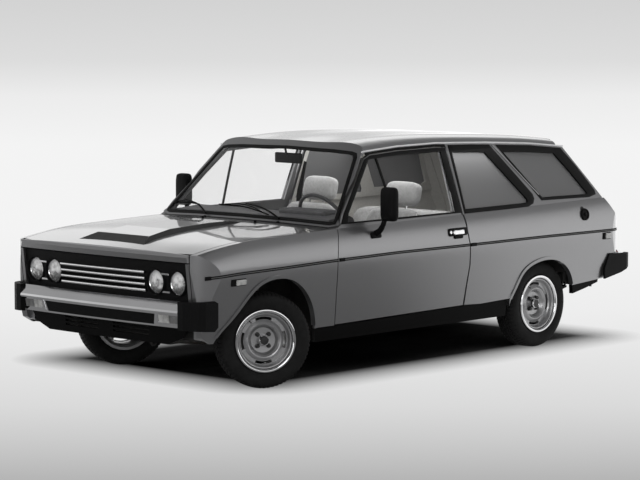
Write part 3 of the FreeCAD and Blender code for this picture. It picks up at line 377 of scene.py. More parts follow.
widest = 728.0
shoulder = np.array([(2160, 822), (1980, 852), (1700, 889), (1350, 906), (857, 919), (200, 926), (-500, 936),
                     (-1143, 946), (-1700, 956), (-2100, 962)], float)[::-1]
rail = np.array([(1000, 1290), (700, 1330), (448, 1353), (137, 1372), (-230, 1377), (-728, 1361),
                 (-1165, 1337), (-1503, 1305), (-1750, 1272), (-2000, 1232)], float)[::-1]
side_curve = smooth_line([(190, 766), (335, 784), (500, 804), (640, 818), (728, 823), (816, 815), (890, 797),
                          (928, 778)], 300)
plan_curve = np.concatenate([
    smooth_line([(-1955, 690), (-1942, 745), (-1905, 790), (-1840, 818), (-1740, 845)], 60),
    smooth_line([(1650, 845), (1860, 826), (1960, 810), (2025, 784), (2060, 745), (2074, 690)], 60)])
nose_line = np.array([(150, 2030), (430, 2045), (561, 2062), (796, 2089), (826, 2092), (845, 2084),
                      (1000, 2050)], float)
tail_line = np.array([(150, -1925), (450, -1940), (600, -1956), (739, -1967), (790, -1960), (860, -1912),
                      (1000, -1796), (1290, -1554), (1420, -1452)], float)


def side_y(x, z):
    """Half width of the lower body: the section curve, its top stretched to the shoulder, cut by the plan."""
    x, z = np.asarray(x, float), np.asarray(z, float)
    rise = np.interp(x, *shoulder.T) - widest
    level = np.where(z > widest, widest + (z - widest) / rise * 200, z)
    return np.minimum(np.interp(level, *side_curve.T), np.interp(x, *plan_curve.T, left=690, right=690))


def glass_y(x, z):
    """Half width of the glass side: 617 + 0.364 (1349 - z), bowed 5 mm between its foot and the drip rail."""
    x, z = np.asarray(x, float), np.asarray(z, float)
    half = (np.interp(x, *rail.T) - 800) / 2
    return 617 + 0.364 * (1349 - z) + 5 * (1 - ((z - 800 - half) / half) ** 2)


# In plan the nose and the tail are arcs of these radii through these outermost points.
nose_radius, nose_crown = 12000, 2092
tail_radius, tail_crown = -6000, -1960


def swept(x, y, crown, radius):
    """x carried round a plan arc of the given radius, whose outermost point lies at crown."""
    centre = crown - radius
    return centre + np.sign(radius) * np.sqrt((x - centre) ** 2 - np.asarray(y, float) ** 2)


def nose_x(y, z):
    """The nose: its side view swept round a plan radius of 12 m."""
    return swept(np.interp(z, *nose_line.T), y, nose_crown, nose_radius)


def tail_x(y, z):
    """The tail: its side view swept round a plan radius of 6 m."""
    return swept(np.interp(z, *tail_line.T), y, tail_crown, tail_radius)


def screen_x(y, z):
    """The windscreen: in plan an arc 73.5 mm deep over 775 mm, leaning back 0.956 mm per mm of height."""
    half, depth = 775, 73.5
    radius = (half ** 2 + depth ** 2) / (2 * depth)
    return 1732 + depth - (radius - np.sqrt(radius ** 2 - np.asarray(y, float) ** 2)) - 0.956 * z


def on_side(points, side=1, lift=0.0, surface=side_y):
    """(x, z) points set on the body side, lifted off along its normal."""
    x, z = np.asarray(points, float).T
    y = surface(x, z)
    slope = (surface(x, z + 1) - surface(x, z - 1)) / 2
    along = (surface(x + 1, z) - surface(x - 1, z)) / 2
    out = unit(np.stack([-along, np.ones_like(y), -slope], -1))
    p = np.stack([x, y, z], -1) + lift * out
    return p * (1, side, 1), out * (1, side, 1)


def solid(name, points, faces, material, body="body", angle=35.0):
    """A closed mesh from points in millimetres, shaded smooth up to a given edge angle.

    Its faces are turned outward: the sum of a . (b x c) over the fan of each face is made positive."""
    points = np.asarray(points, float)
    volume = 0.0
    for corners in {len(face) for face in faces}:
        p = points[np.array([face for face in faces if len(face) == corners])]
        for k in range(1, corners - 1):
            volume += np.einsum("ij,ij->", p[:, 0], np.cross(p[:, k], p[:, k + 1]))
    thing = mesh_object(name, points * 0.001, [face[::-1] for face in faces] if volume < 0 else faces)
    thing.data.polygons.foreach_set("use_smooth", [True] * len(faces))
    thing.data.set_sharp_from_angle(angle=math.radians(angle))
    thing.data.materials.append(material)
    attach(thing, body)
    return thing


def grid_piece(name, points, material, body="body", ring=False, angle=35.0):
    """A solid from a grid P(row, column): columns close round; rows close too if ring, or else are capped."""
    points = np.asarray(points, float)
    rows, columns = points.shape[:2]
    r, c = np.meshgrid(np.arange(rows if ring else rows - 1), np.arange(columns), indexing="ij")
    r2, c2 = (r + 1) % rows, (c + 1) % columns
    quads = np.stack([r * columns + c, r * columns + c2, r2 * columns + c2, r2 * columns + c], -1)
    faces = quads.reshape(-1, 4).tolist()
    if not ring:
        faces += [list(range(columns))[::-1], list(range((rows - 1) * columns, rows * columns))]
    return solid(name, points.reshape(-1, 3), faces, material, body, angle)


def folded(upper, lower):
    """A closed grid from two sheets: each row runs out along the upper one and back along the lower."""
    return np.concatenate([upper, lower[:, ::-1]], 1)


def band(name, outer, inner, rows, material, body, surface, side=1):
    """A closed band between two matched (x, z) outlines; rows are (share across, lift)."""
    both = chain(np.concatenate([outer, inner], 1), 60.0, closed=True)
    grid = [on_side(both[:, :2] * (1 - share) + both[:, 2:] * share, side, lift, surface)[0]
            for share, lift in rows]
    return grid_piece(name, np.stack(grid, 1), material, body, ring=True)


def between(low, high, shares):
    """Rows of values from one curve to another: low + (high - low) * share."""
    return low[:, None] + (high - low)[:, None] * shares


sides = ((1, "left"), (-1, "right"))

# Along the body side: the rubber moulding at the widest line with its black end caps, bright drip rail,
# black rubber round door and rear side windows, bright pillar strip. All are pressed or clipped on.
def sweep(name, path, out, section, material, body="body", ring=False, angle=35.0):
    """P(i, j) = path_i + a_j across_i + b_j out_i, with across square to the path and mitred at corners."""
    path = np.asarray(path, float)
    out = unit(np.broadcast_to(np.asarray(out, float), path.shape))
    ahead = unit(np.roll(path, -1, 0) - path)
    back = unit(path - np.roll(path, 1, 0))
    if not ring:
        ahead[-1], back[0] = back[-1], ahead[0]
    tangent = unit(ahead + back)
    mitre = 1 / np.maximum((tangent * ahead).sum(-1, keepdims=True), 0.5)
    across = unit(np.cross(tangent, out)) * mitre
    section = np.asarray(section, float)
    points = path[:, None] + section[None, :, :1] * across[:, None] + section[None, :, 1:] * out[:, None]
    return grid_piece(name, points, material, body, ring, angle)


rubber_trim = finish("black_trim_rubber", (0.004, 0.004, 0.004), roughness=0.5, specular=0.12,
                     variation=0.2, grain=40.0, bump=0.15, bump_grain=600.0)
bright = finish("bright_trim", (0.78, 0.78, 0.79), roughness=0.12, metallic=1.0, variation=0.03, grain=9.0,
                rough_variation=0.04)
pale_trim = finish("brushed_trim", (0.85, 0.85, 0.86), roughness=0.4, metallic=0.6, variation=0.04,
                   grain=20.0)
moulding_highlight_grey = finish("moulding_painted_highlight", (0.10, 0.10, 0.10), roughness=0.4, variation=0.1, grain=40.0)
moulding_line = np.array([(-1890, 739), (-1070, 743), (-328, 741), (340, 742), (898, 734), (1394, 722),
                          (1734, 716), (2000, 705)], float)
moulding_runs = (("front", 1996, 900, "body"), ("door", 886, -322, "door"), ("rear", -338, -1898, "body"))
moulding_section = [(-9, -1), (-9, 2.5), (-7.5, 4), (-3.5, 4.5), (-2.5, 3), (2.5, 3), (3.5, 4.5), (7.5, 4),
                    (9, 2.5), (9, -1)]
cap_section = [(-11, -1), (-11, 4), (-8, 6.5), (8, 6.5), (11, 4), (11, -1)]
for side, tag in sides:
    for name, start, stop, body in moulding_runs:
        body = "door_" + tag if body == "door" else body
        x = np.linspace(start, stop, 60)
        line, out = on_side(np.stack([x, np.interp(x, *moulding_line.T)], -1), side)
        sweep("moulding_%s_%s" % (name, tag), line, out, moulding_section, rubber_trim, body)
        # a grey strip down the middle of the moulding: a painted highlight
        sweep("moulding_line_%s_%s" % (name, tag), line[1:], out[1:],
              [(-2.2, 2), (-2.2, 3.4), (2.2, 3.4), (2.2, 2)], moulding_highlight_grey, body)
        sweep("moulding_cap_%s_%s" % (name, tag), line[:3], out[:3], cap_section, black_plastic, body)

    x = np.linspace(466, -1502, 90)
    line = np.stack([x, np.interp(x, *rail.T)], -1)
    line, out = on_side(line + (0, 4), side, 2, glass_y)
    sweep("drip_rail_" + tag, line, out, [(-6, -5), (-6, 5), (-4, 9), (3, 9), (5, 6), (6, 2), (6, -5)],
          pale_trim)

# a black strip fills the body's edge between the door top and the drip rail
x = np.linspace(440, -325, 40)
low = np.interp(x, [-322, -230, 137, 400, 462], [1356, 1361, 1356, 1341, 1320])
z = between(low, np.interp(x, *rail.T) - 2, np.linspace(0, 1, 4))
points = np.stack([np.broadcast_to(x[:, None], z.shape), z], -1).reshape(-1, 2)
for side, tag in sides:
    upper, lower = (on_side(points, side, lift, glass_y)[0].reshape(*z.shape, 3) for lift in (1.4, -1.5))
    grid_piece("cant_strip_" + tag, folded(upper, lower), rubber_trim)

door_band = [((818, 941), (757, 950)), ((776, 998), (728, 1001)), ((463, 1312), (424, 1308)),
             ((400, 1334), (398, 1313)), ((137, 1349), (137, 1326)), ((-230, 1354), (-228, 1329)),
             ((-318, 1349), (-268, 1328)), ((-312, 944), (-247, 954)), ((262, 940), (262, 951))]
one_band = [((-352, 1366), (-372, 1320)), ((-560, 1361), (-560, 1314)), ((-758, 1352), (-690, 1306)),
            ((-905, 1188), (-838, 1148)), ((-1056, 1020), (-984, 994)), ((-1062, 990), (-988, 984)),
            ((-1040, 960), (-984, 974)), ((-980, 943), (-960, 969)), ((-335, 936), (-354, 964))]
two_band = [((-822, 1348), (-874, 1302)), ((-1160, 1331), (-1160, 1288)), ((-1480, 1300), (-1392, 1270)),
            ((-1590, 1176), (-1500, 1150)), ((-1716, 1010), (-1622, 1002)), ((-1716, 982), (-1626, 994)),
            ((-1640, 968), (-1600, 990)), ((-1135, 974), (-1146, 994))]
wrap = [(0, -2), (0, 2.5), (0.08, 3.5), (0.92, 3.5), (1, 2.5), (1, -8)]
for side, tag in sides:
    for name, pairs, body in (("door", door_band, "door_" + tag), ("side_one", one_band, "body"),
                              ("side_two", two_band, "body")):
        outer, inner = zip(*pairs)
        band("window_frame_%s_%s" % (name, tag), outer, inner, wrap, rubber_trim, body, glass_y, side)
    line, out = on_side(chain([(346, 1326), (313, 948)], 30), side, 0, glass_y)
    sweep("vent_bar_" + tag, line, out, [(-8, -11), (-8, -4), (-6, -2.5), (6, -2.5), (8, -4), (8, -11)],
          rubber_trim, "door_" + tag)
    line, out = on_side(chain([(-786, 1346), (-1116, 1012)], 30), side, 0, glass_y)
    sweep("pillar_strip_" + tag, line, out, [(-4, -1), (-4, 4), (-2, 6), (2, 6), (4, 4), (4, -1)], bright)

# The raised centre of the bonnet has matt black flanks, along both sides and across its front: a film
# stuck over the painted steel, drawn on the CAD bonnet's own rows with its face 0.7 mm above them.
matt_black = finish("matt_black_film", (0.014, 0.014, 0.014), roughness=0.75, variation=0.2, grain=60.0,
                    bump=0.1, bump_grain=700.0)
# Each row is (x, half width at the foot, half width on top, height at the foot, height on top).
bulge_rows = np.array([(1030, 156, 150, 905, 932), (1160, 178, 150, 902, 948), (1346, 220, 163, 892, 949),
                       (1690, 282, 188, 872, 936), (1890, 289, 222, 855, 908), (1993, 289, 286, 850, 866)],
                      float)


def bulge(x):
    """The four sizes of the raised centre at each x."""
    return (np.interp(x, bulge_rows[:, 0], bulge_rows[:, k]) for k in range(1, 5))


x = np.linspace(1985, 1034, 90)
foot, top, low, high = bulge(x)
shares = np.linspace(0.0, 0.985, 5)
y, z = between(foot, top, shares), between(low, high, shares)
out = unit(np.stack([np.zeros_like(x), high - low, foot - top + 6], -1))[:, None]
skin = np.stack([np.broadcast_to(x[:, None], y.shape), y, z], -1)
grid = folded(skin + 0.7 * out, skin - 1.0 * out)
for side, tag in sides:
    grid_piece("bonnet_flank_" + tag, grid * (1, side, 1), matt_black, "bonnet")
x = np.linspace(1990, 1893, 12)
foot, top, low, high = bulge(x)
y = (top - 0.5)[:, None] * np.linspace(-1, 1, 9)
skin = np.stack([np.broadcast_to(x[:, None], y.shape), y, np.broadcast_to(high[:, None], y.shape)], -1)
grid = folded(skin + (0.3, 0, 0.7), skin - (0.4, 0, 1.0))
grid_piece("bonnet_flank_front", grid, matt_black, "bonnet")

# Windscreen: a moulded rubber seal lipped over the glass, two black steel wipers and two washer jets.
# The wiper spindles stand in the scuttle below the screen, the jets in the rear of the bonnet.
screen_out = np.array([0.723, 0.0, 0.691])
hole = np.array([(0, 958), (400, 954), (700, 944), (728, 950), (726, 968), (592, 1322), (576, 1342),
                 (540, 1350), (400, 1358), (0, 1366)], float)
hole = np.concatenate([hole, hole[1:-1][::-1] * (-1, 1)])
loop = chain(hole, 40, closed=True)
loop = np.stack([screen_x(*loop.T), *loop.T], -1)
sweep("windscreen_seal", loop, screen_out, [(-13, -2), (-13, 2), (-9, 5), (-3, 5), (0, 3), (3, 5), (9, 4),
                                            (13, 1), (13, -6)], rubber_trim, ring=True)


def rod(name, path, radius, material, body="body", count=10):
    """A round bar: a circle of the given radius, or one radius a point, swept along a path."""
    path = np.asarray(path, float)
    tangent = unit(np.gradient(path, axis=0))
    ref = np.where(np.abs(tangent[:, 2:]) < 0.9, (0.0, 0.0, 1.0), (1.0, 0.0, 0.0))
    a = unit(np.cross(tangent, ref))
    b = np.cross(tangent, a)
    t = circle(count)[None, :, None]
    r = np.broadcast_to(np.asarray(radius, float).reshape(-1, 1, 1), (len(path), 1, 1))
    return grid_piece(name, path[:, None] + r * (np.cos(t) * a[:, None] + np.sin(t) * b[:, None]), material,
                      body)


def on_screen(y, z, lift):
    """Points on the windscreen, lifted off it."""
    return np.stack([screen_x(y, z), y, z], -1) + np.reshape(lift, (-1, 1)) * screen_out


def turned(name, profile, place, axis, material, body="body", count=48, angle=35.0):
    """A closed (radius, height) outline turned about an axis through place."""
    axis = unit(np.asarray(axis, float))
    side = unit(np.cross(axis, (0.0, 0.0, 1.0) if abs(axis[2]) < 0.9 else (1.0, 0.0, 0.0)))
    other = np.cross(axis, side)
    t = circle(count)[:, None, None]
    r, h = np.asarray(profile, float).T[:, None, :, None]
    r = np.maximum(r, 0.02)
    points = np.asarray(place, float) + r * (np.cos(t) * side + np.sin(t) * other) + h * axis
    return grid_piece(name, points, material, body, ring=True, angle=angle)


wipers = (("left", 355, [(355, 932), (190, 984), (60, 1006), (-5, 1012)],
           [(-250, 1002), (-20, 1000), (220, 966)]),
          ("right", -280, [(-280, 930), (-400, 976), (-490, 994), (-580, 1004)],
           [(-705, 984), (-580, 996), (-430, 992)]))
for name, pivot_y, arm, blade in wipers:
    pivot = np.array([screen_x(pivot_y, 925) + 32.0, pivot_y, 930.0])
    turned("wiper_spindle_" + name, [(0, -12), (13, -12), (13, 6), (10, 12), (0, 12)], pivot, (0.5, 0, 0.87),
           black_plastic, count=20)
    path = on_screen(*smooth_line(arm, 16).T, np.linspace(40, 24, 16))
    rod("wiper_arm_" + name, path, np.linspace(7, 3.5, 16), satin_black)
    line = smooth_line(blade, 24)
    sweep("wiper_blade_" + name, on_screen(*line.T, 9), screen_out,
          [(-1.5, -5), (-4, 1), (-3, 6), (3, 6), (4, 1), (1.5, -5)], rubber_trim)
    bow = 9 * np.sin(np.linspace(0, math.pi, 18))
    rod("wiper_bow_" + name, on_screen(line[3:-3, 0], line[3:-3, 1] + bow, 18), 3.0, satin_black)
for side, tag in sides:
    turned("washer_jet_" + tag, [(0, 0), (9, 0), (9, 5), (5, 14), (0, 15)], (1010, side * 230, 934),
           (0.2, 0, 1), black_plastic, "bonnet", count=16)

# The front: bright strips on the grille bars, four round lamps in deep black tubes, and the chromed bumper
# with its black insert and lamp units. Strips are pressed on; lamps sit in the black grille panel.
def on_nose(y, z, lift):
    """Points on the nose, moved straight forward by lift."""
    return np.stack([nose_x(y, z) + lift, y, np.full_like(y, z)], -1)


strip_heights, lamp_level = (719, 683, 648, 613), 668.0
strip = [(-6.4, -2), (-6.4, 0.6), (-4, 2.2), (4, 2.2), (6.4, 0.6), (6.4, -2)]
for k, z in enumerate(strip_heights):
    sweep("grille_strip_%d" % k, on_nose(np.linspace(-368, 368, 40), z, -4), (1.0, 0, 0.05), strip, bright)
corner = np.array([(x, y, z) for z in (-58, 54) for x, y in ((-7, -1.2), (2, -1.2), (2, 1.2), (-7, 1.2))])
place = on_nose(np.arange(-364, 365, 13.0), lamp_level, -14)
points = (place[:, None] + corner).reshape(-1, 3)
box_faces = np.array([(0, 3, 2, 1), (4, 5, 6, 7), (0, 1, 5, 4), (1, 2, 6, 5), (2, 3, 7, 6), (3, 0, 4, 7)])
faces = (box_faces + 8 * np.arange(len(place))[:, None, None]).reshape(-1, 4).tolist()
solid("grille_slats", points, faces, black_plastic)


def ribs(tree, scale, direction, distortion=0.0):
    """Moulded ribs on object coordinates, from 0 to 1."""
    place = add(tree, "TexCoord").outputs["Object"]
    return add(tree, "TexWave", {"Vector": place, "Scale": scale, "Distortion": distortion},
               bands_direction=direction).outputs["Fac"]


lamp_foot, lamp_height = 0.598, 0.14


def up_the_lamp(tree, *extra):
    """0 at the foot of a headlamp and 1 at its top, plus each (value from 0 to 1, middle, size)."""
    place = add(tree, "TexCoord").outputs["Object"]
    level = math_node(tree, "SUBTRACT", add(tree, "SeparateXYZ", {0: place}).outputs["Z"], lamp_foot)
    level = math_node(tree, "DIVIDE", level, lamp_height)
    for value, middle, size in extra:
        share = math_node(tree, "MULTIPLY", math_node(tree, "SUBTRACT", value, middle), size)
        level = math_node(tree, "ADD", level, share)
    return level


# silvered bowl under fluted glass; its base colour is painted light in the upper half and painted shade,
# mottled, below
reflector, tree = new_material("lamp_reflector_painted_light")
level = up_the_lamp(tree, (noise(tree, 60.0, 3.0), 0.5, 0.5))
painted_light_silvering = ramp(tree, level, [(0.15, 0.22), (0.45, 0.45), (0.55, 0.95), (0.85, 0.98)])
shader = add(tree, "BsdfPrincipled", {"Metallic": 0.8, "Roughness": 0.25, "Base Color": painted_light_silvering,
                                      "Normal": dents(tree, ribs(tree, 90.0, "Y"), 0.4)})
show(tree, shader)
lens_painted_highlight, tree = new_material("lamp_lens_painted_highlight")
white = add(tree, "BsdfPrincipled", {"Base Color": (0.95, 0.95, 0.95, 1), "Roughness": 0.15,
                                     "Coat Weight": 1.0})
level = up_the_lamp(tree, (ribs(tree, 50.0, "Y", 1.5), 0.0, 0.12), (noise(tree, 26.0), 0.5, 1.6))
# painted highlight: the fluted glass turns white towards the top of the lamp and stays clear below
share = ramp(tree, level, [(0.1, 0.04), (0.45, 0.10), (0.6, 0.50), (0.9, 0.85)])
lens = blend(tree, share, add(tree, "BsdfTransparent"), white)
show(tree, lens)
lamp_pieces = []
lamp_parts = (("tube", [(70.5, -40), (78, -40), (78, 10), (76, 13), (72.5, 13), (70.5, 10)], black_plastic,
               64),
              ("bowl", [(0, -62), (20, -56), (40, -44), (56, -30), (67, -16), (69.5, -16), (69.5, -20),
                        (58, -36), (41, -50), (20, -62), (0, -68)],
               reflector, 64),
              ("lens", [(0, 2), (22, 0.5), (42, -3), (60, -8.5), (68.5, -13), (70, -15.5), (66, -15.8),
                        (41, -7), (0, -2)],
               lens_painted_highlight, 64),
              ("rim", [(66.5, -17), (70.4, -17), (70.4, -11), (69, -9.5), (66.8, -12)], bright, 64),
              ("bulb", [(0, -56), (12, -56), (12, -40), (9, -30), (0, -27)], bright, 24))
for side, tag in sides:
    for name, y in (("outer", 620.0), ("inner", 446.0)):
        place = (2054 - y * y / (2 * nose_radius), side * y, lamp_level)
        for part, outline, material, count in lamp_parts:
            lamp_pieces.append(turned("lamp_%s_%s_%s" % (part, name, tag), outline, place, (1, 0, 0),
                                      material, count=count))
    for z in (strip_heights[0], strip_heights[-1]):
        line = on_nose(np.linspace(504, 562, 8), z, -13) * (1, side, 1)
        sweep("lamp_strip_%s_%d" % (tag, z), line, (1.0, 0, 0), [(-5, -2), (-5, 6), (5, 6), (5, -2)], bright)


bumper_end = 2132


def bumper_point(y, z, lift=0.0):
    """The front bumper's lower face, swept round a plan radius of 12 m."""
    x = swept(np.interp(z, [414, 430, 492], [2084, 2092, 2104]) + lift, y, bumper_end, nose_radius)
    return np.stack([x, y, z + 0.0 * y], -1)


half = np.array([462, 463, 478, 479])[:, None] * np.linspace(-1, 1, 60)
heights = np.array([425, 427, 486, 488])[:, None]
front = bumper_point(half, heights, np.array([0.0, 3.0, 3.0, 0.0])[:, None])
back = bumper_point(half, heights, -2.0)[::-1]
grid_piece("bumper_insert", np.concatenate([front, back]).swapaxes(0, 1), black_plastic)


def lens_finish(name, colour):
    """Moulded lamp plastic: a glossy coloured lens over ribs."""
    material, tree = new_material(name)
    colour = np.asarray(colour, float)
    low, high = tuple(colour * 0.7), tuple(np.minimum(colour * 1.25, 1))
    shader = add(tree, "BsdfPrincipled", {"Roughness": 0.12, "Coat Weight": 1.0,
                                          "Base Color": ramp(tree, noise(tree, 30.0, 3.0),
                                                             [(0.3, low), (0.7, high)]),
                                          "Normal": dents(tree, ribs(tree, 60.0, "DIAGONAL"), 0.5)})
    show(tree, shader)
    return material


clear_lens = lens_finish("clear_ribbed_lens", (0.45, 0.45, 0.44))
smoke_lens = lens_finish("grey_ribbed_lens", (0.16, 0.16, 0.16))
amber_lens = lens_finish("amber_ribbed_lens", (0.60, 0.20, 0.03))
red_lens = lens_finish("red_ribbed_lens", (0.45, 0.012, 0.012))
for side, tag in sides:
    outer = np.array([(486, 424), (690, 424), (690, 498), (500, 498)], float)
    inner = np.array([(505, 440), (672, 440), (672, 487), (514, 487)], float)
    loop = chain(np.concatenate([outer, inner], 1), 30, closed=True)
    rows = [bumper_point(loop[:, k], loop[:, k + 1], lift)
            for k, lift in ((0, 0.0), (0, 4.0), (2, 4.0), (2, -6.0))]
    grid_piece("front_indicator_rim_" + tag, np.stack(rows, 1) * (1, side, 1), bright, ring=True)
    for name, y0, y1, finish_used in (("inner", 511, 592, clear_lens), ("outer", 594, 672, smoke_lens)):
        y, z = np.meshgrid(np.linspace(y0, y1, 8), np.linspace(440, 487, 6), indexing="ij")
        grid = folded(bumper_point(y, z, 1.5), bumper_point(y, z, -25))
        lamp_pieces.append(grid_piece("front_indicator_%s_%s" % (name, tag), grid * (1, side, 1),
                                      finish_used))
for piece in lamp_pieces:
    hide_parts("front_lamps")


# On the flanks: side lamps, door handles, mirrors and the round fuel cap, moulded in black plastic with
# ribbed lenses and bright flaps and screwed on. Each sits on the body's own curve.
def side_plate(name, x0, x1, z0, z1, low, high, material, body, side, radius=6.0, edge=1.5):
    """A plate with rounded corners that follows the body side, from low to high above it."""
    t = np.linspace(0, math.pi / 2, 6)
    ox, oz = radius * (1 - np.cos(t)), radius * (1 - np.sin(t))
    corner = [np.stack([x0 + ox, z1 - oz], -1), np.stack([x1 - ox[::-1], z1 - oz[::-1]], -1),
              np.stack([x1 - ox, z0 + oz], -1), np.stack([x0 + ox[::-1], z0 + oz[::-1]], -1)]
    loop = chain(np.concatenate(corner), 25, closed=True)
    middle = np.array([(x0 + x1) / 2, (z0 + z1) / 2])
    rows = [on_side(loop + unit(middle - loop) * inset, side, lift)[0]
            for inset, lift in ((0, low), (0, high - edge), (edge * 0.3, high - 0.3 * edge), (edge, high))]
    rows += [on_side(loop * (1 - share) + middle * share, side, high)[0] for share in (0.35, 0.7, 0.97)]
    return grid_piece(name, rows, material, body)


def block(name, low, high, edge, material, body="body"):
    """A box from low to high with rounded edges."""
    low, high = np.asarray(low, float), np.asarray(high, float)
    build = bmesh.new()
    bmesh.ops.create_cube(build, size=1.0)
    bmesh.ops.scale(build, vec=Vector(high - low), verts=build.verts)
    bmesh.ops.translate(build, vec=Vector((low + high) / 2), verts=build.verts)
    bmesh.ops.bevel(build, geom=build.edges[:], offset=edge, segments=3, profile=0.5, affect="EDGES")
    points = np.array([v.co for v in build.verts])
    faces = [[v.index for v in f.verts] for f in build.faces]
    build.free()
    return solid(name, points, faces, material, body, angle=50.0)


def mirror_loop(half_y, half_z, x, middle=(902.0, 1054.0)):
    """A squared oval: |y/a|^6 + |z/b|^6 = 1."""
    t = circle(48)
    c, s = np.cos(t), np.sin(t)
    r = (np.abs(c) ** 6 + np.abs(s) ** 6) ** (-1 / 6)
    return np.stack([np.full_like(t, x), middle[0] + half_y * r * c, middle[1] + half_z * r * s], -1)


for side, tag in sides:
    side_plate("side_lamp_base_front_" + tag, 1684, 1804, 646, 687, -1, 5, black_plastic, "body", side)
    side_plate("side_lamp_lens_front_" + tag, 1689, 1768, 651, 682, 4, 12, clear_lens, "body", side)
    side_plate("side_lamp_base_rear_" + tag, -1799, -1714, 681, 727, -1, 5, black_plastic, "body", side)
    side_plate("side_lamp_lens_rear_" + tag, -1794, -1738, 686, 722, 4, 12, clear_lens, "body", side)
    door = "door_" + tag
    handle = [side_plate("handle_bezel_" + tag, -307, -129, 806, 856, -1, 7, black_plastic, door, side, 14),
              side_plate("handle_flap_" + tag, -270, -166, 814, 842, 6, 15, bright, door, side, 8,
                         edge=4.0),
              side_plate("handle_bulge_" + tag, -262, -178, 788, 815, -1, 9, black_plastic, door, side, 12,
                         edge=5.0),
              side_plate("handle_lock_" + tag, -158, -136, 820, 842, 6, 9, bright, door, side, 10.9)]

    # mirror: a tall shell open to the rear, with its glass set in, on a bent arm
    for name, loops, material in (("shell", ((57, 101, 508), (60, 104, 514), (60, 104, 530), (57, 101, 546),
                                             (46, 90, 558), (20, 60, 562)),
                                   black_plastic), ("glass", ((53, 97, 506.5), (53, 97, 508.4)), chrome)):
        rows = np.array([mirror_loop(*sizes) for sizes in loops]) * (1, side, 1)
        handle.append(grid_piece("door_mirror_%s_%s" % (name, tag), rows, material, door))
    path = smooth_line([(540, 796, 868), (538, 826, 884), (536, 858, 925), (534, 872, 962)],
                       14) * (1, side, 1)
    handle.append(rod("door_mirror_arm_" + tag, path, np.linspace(20, 15, 14), black_plastic, door, 14))
    handle.append(side_plate("door_mirror_foot_" + tag, 498, 590, 842, 880, -1, 8, black_plastic, door,
                             side, 12, edge=4.0))

    # inner door trim: a padded panel, an arm rest and a window winder
    x, z = np.meshgrid(np.linspace(-270, 840, 40), np.linspace(385, 880, 14), indexing="ij")
    y = side_y(x, z) - 56
    puff = 5 * (1 - np.abs((x - 285) / 555) ** 8) * (1 - np.abs((z - 632.5) / 247.5) ** 8)
    groove = sum(3 * np.exp(-((z - seam) / 8) ** 2) for seam in (620, 800))
    grid = folded(np.stack([x, y, z], -1), np.stack([x, y - 8 - puff + groove, z], -1))
    handle.append(grid_piece("door_panel_" + tag, grid * (1, side, 1), cloth, door))
    low, high = sorted((side * 712, side * 745))
    handle.append(block("door_arm_rest_" + tag, (-150, low, 600), (410, high, 648), 14, cabin_trim, door))
    handle.append(turned("window_winder_" + tag, [(0, 0), (18, 0), (18, 8), (12, 14), (0, 15)],
                         (250, side * 742, 560), (0, -side, 0), bright, door, count=24))
    for piece in handle:
        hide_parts("door_trim_" + tag)

point, out = on_side([(-1528, 861)])
turned("fuel_cap", [(0, -1), (40, -1), (41, 5), (38, 11), (31, 12), (28, 7), (12, 7), (9, 14), (0, 15)],
       point[0], out[0], black_plastic, count=48)
# painted shade: a flat matt black disc at the cap's upper edge stands for its shaded finger recess
point, out = on_side([(-1512, 897)])
turned("fuel_cap_recess_shade", [(0, -1), (17, -1), (18, 0.8), (12, 1.2), (0, 1.2)], point[0], out[0], matt_black,
       count=32)

# Wheels: moulded rubber tyres with blocks and grooves, silver discs with a bright trim ring, black nuts
# and a dark centre cap. Each wheel is worked out about its own axis and set in its steered place.
wheel_places = {}
wheel_height, steer = 288.0, -math.radians(28)
steer_axis_y, wheel_arm = 566, 120
for side, tag in sides:
    place = (1347 - side * wheel_arm * math.sin(steer), side * (steer_axis_y + wheel_arm * math.cos(steer)),
             wheel_height)
    wheel_places["front_" + tag] = (place, side, steer)
    wheel_places["rear_" + tag] = ((-1143.0, side * 657.0, wheel_height), side, 0.0)


def wheel_turn(side, angle):
    """The turn that takes a wheel drawn with its face to +Y into its place."""
    return np.array(Matrix.Rotation(angle + (0 if side > 0 else math.pi), 3, "Z"))


pitches = 66


def tyre_grid():
    """P(i, j): the tyre outline turned about Y, with cross grooves 6 mm deep outside and 4 mm further in."""
    half = [(0, 287.8), (9, 287.8), (10, 281), (14, 281), (15, 287.7), (30, 287.4), (31, 280.5),
            (36, 280.5), (37, 287), (46, 286), (54, 284), (62, 280), (69, 273.5), (75, 266), (79, 256),
            (81.5, 244), (82, 234), (81, 222), (80.4, 220), (80.4, 217), (79.5, 215), (77, 204), (73, 196),
            (70.5, 193.5), (68.6, 192.8), (66.5, 191), (64, 183), (62, 172), (60.5, 166), (56, 163.6)]
    loop = np.array([(-y, r) for y, r in half[::-1]] + half[1:], float)
    step = np.arange(pitches * 4)[:, None]
    angle = step * 2 * math.pi / len(step)
    y, r = (np.broadcast_to(v, (len(step), len(loop))) for v in loop.T)
    shoulder_zone = (np.abs(y) >= 37) & (np.abs(y) <= 70) & (r > 270)
    middle_zone = (np.abs(y) >= 15) & (np.abs(y) <= 30) & (r > 280)
    r = r - 6.0 * ((step % 4 == 0) & shoulder_zone) - 4.0 * ((step % 4 == 2) & middle_zone)
    return np.stack([r * np.cos(angle), y, r * np.sin(angle)], -1)


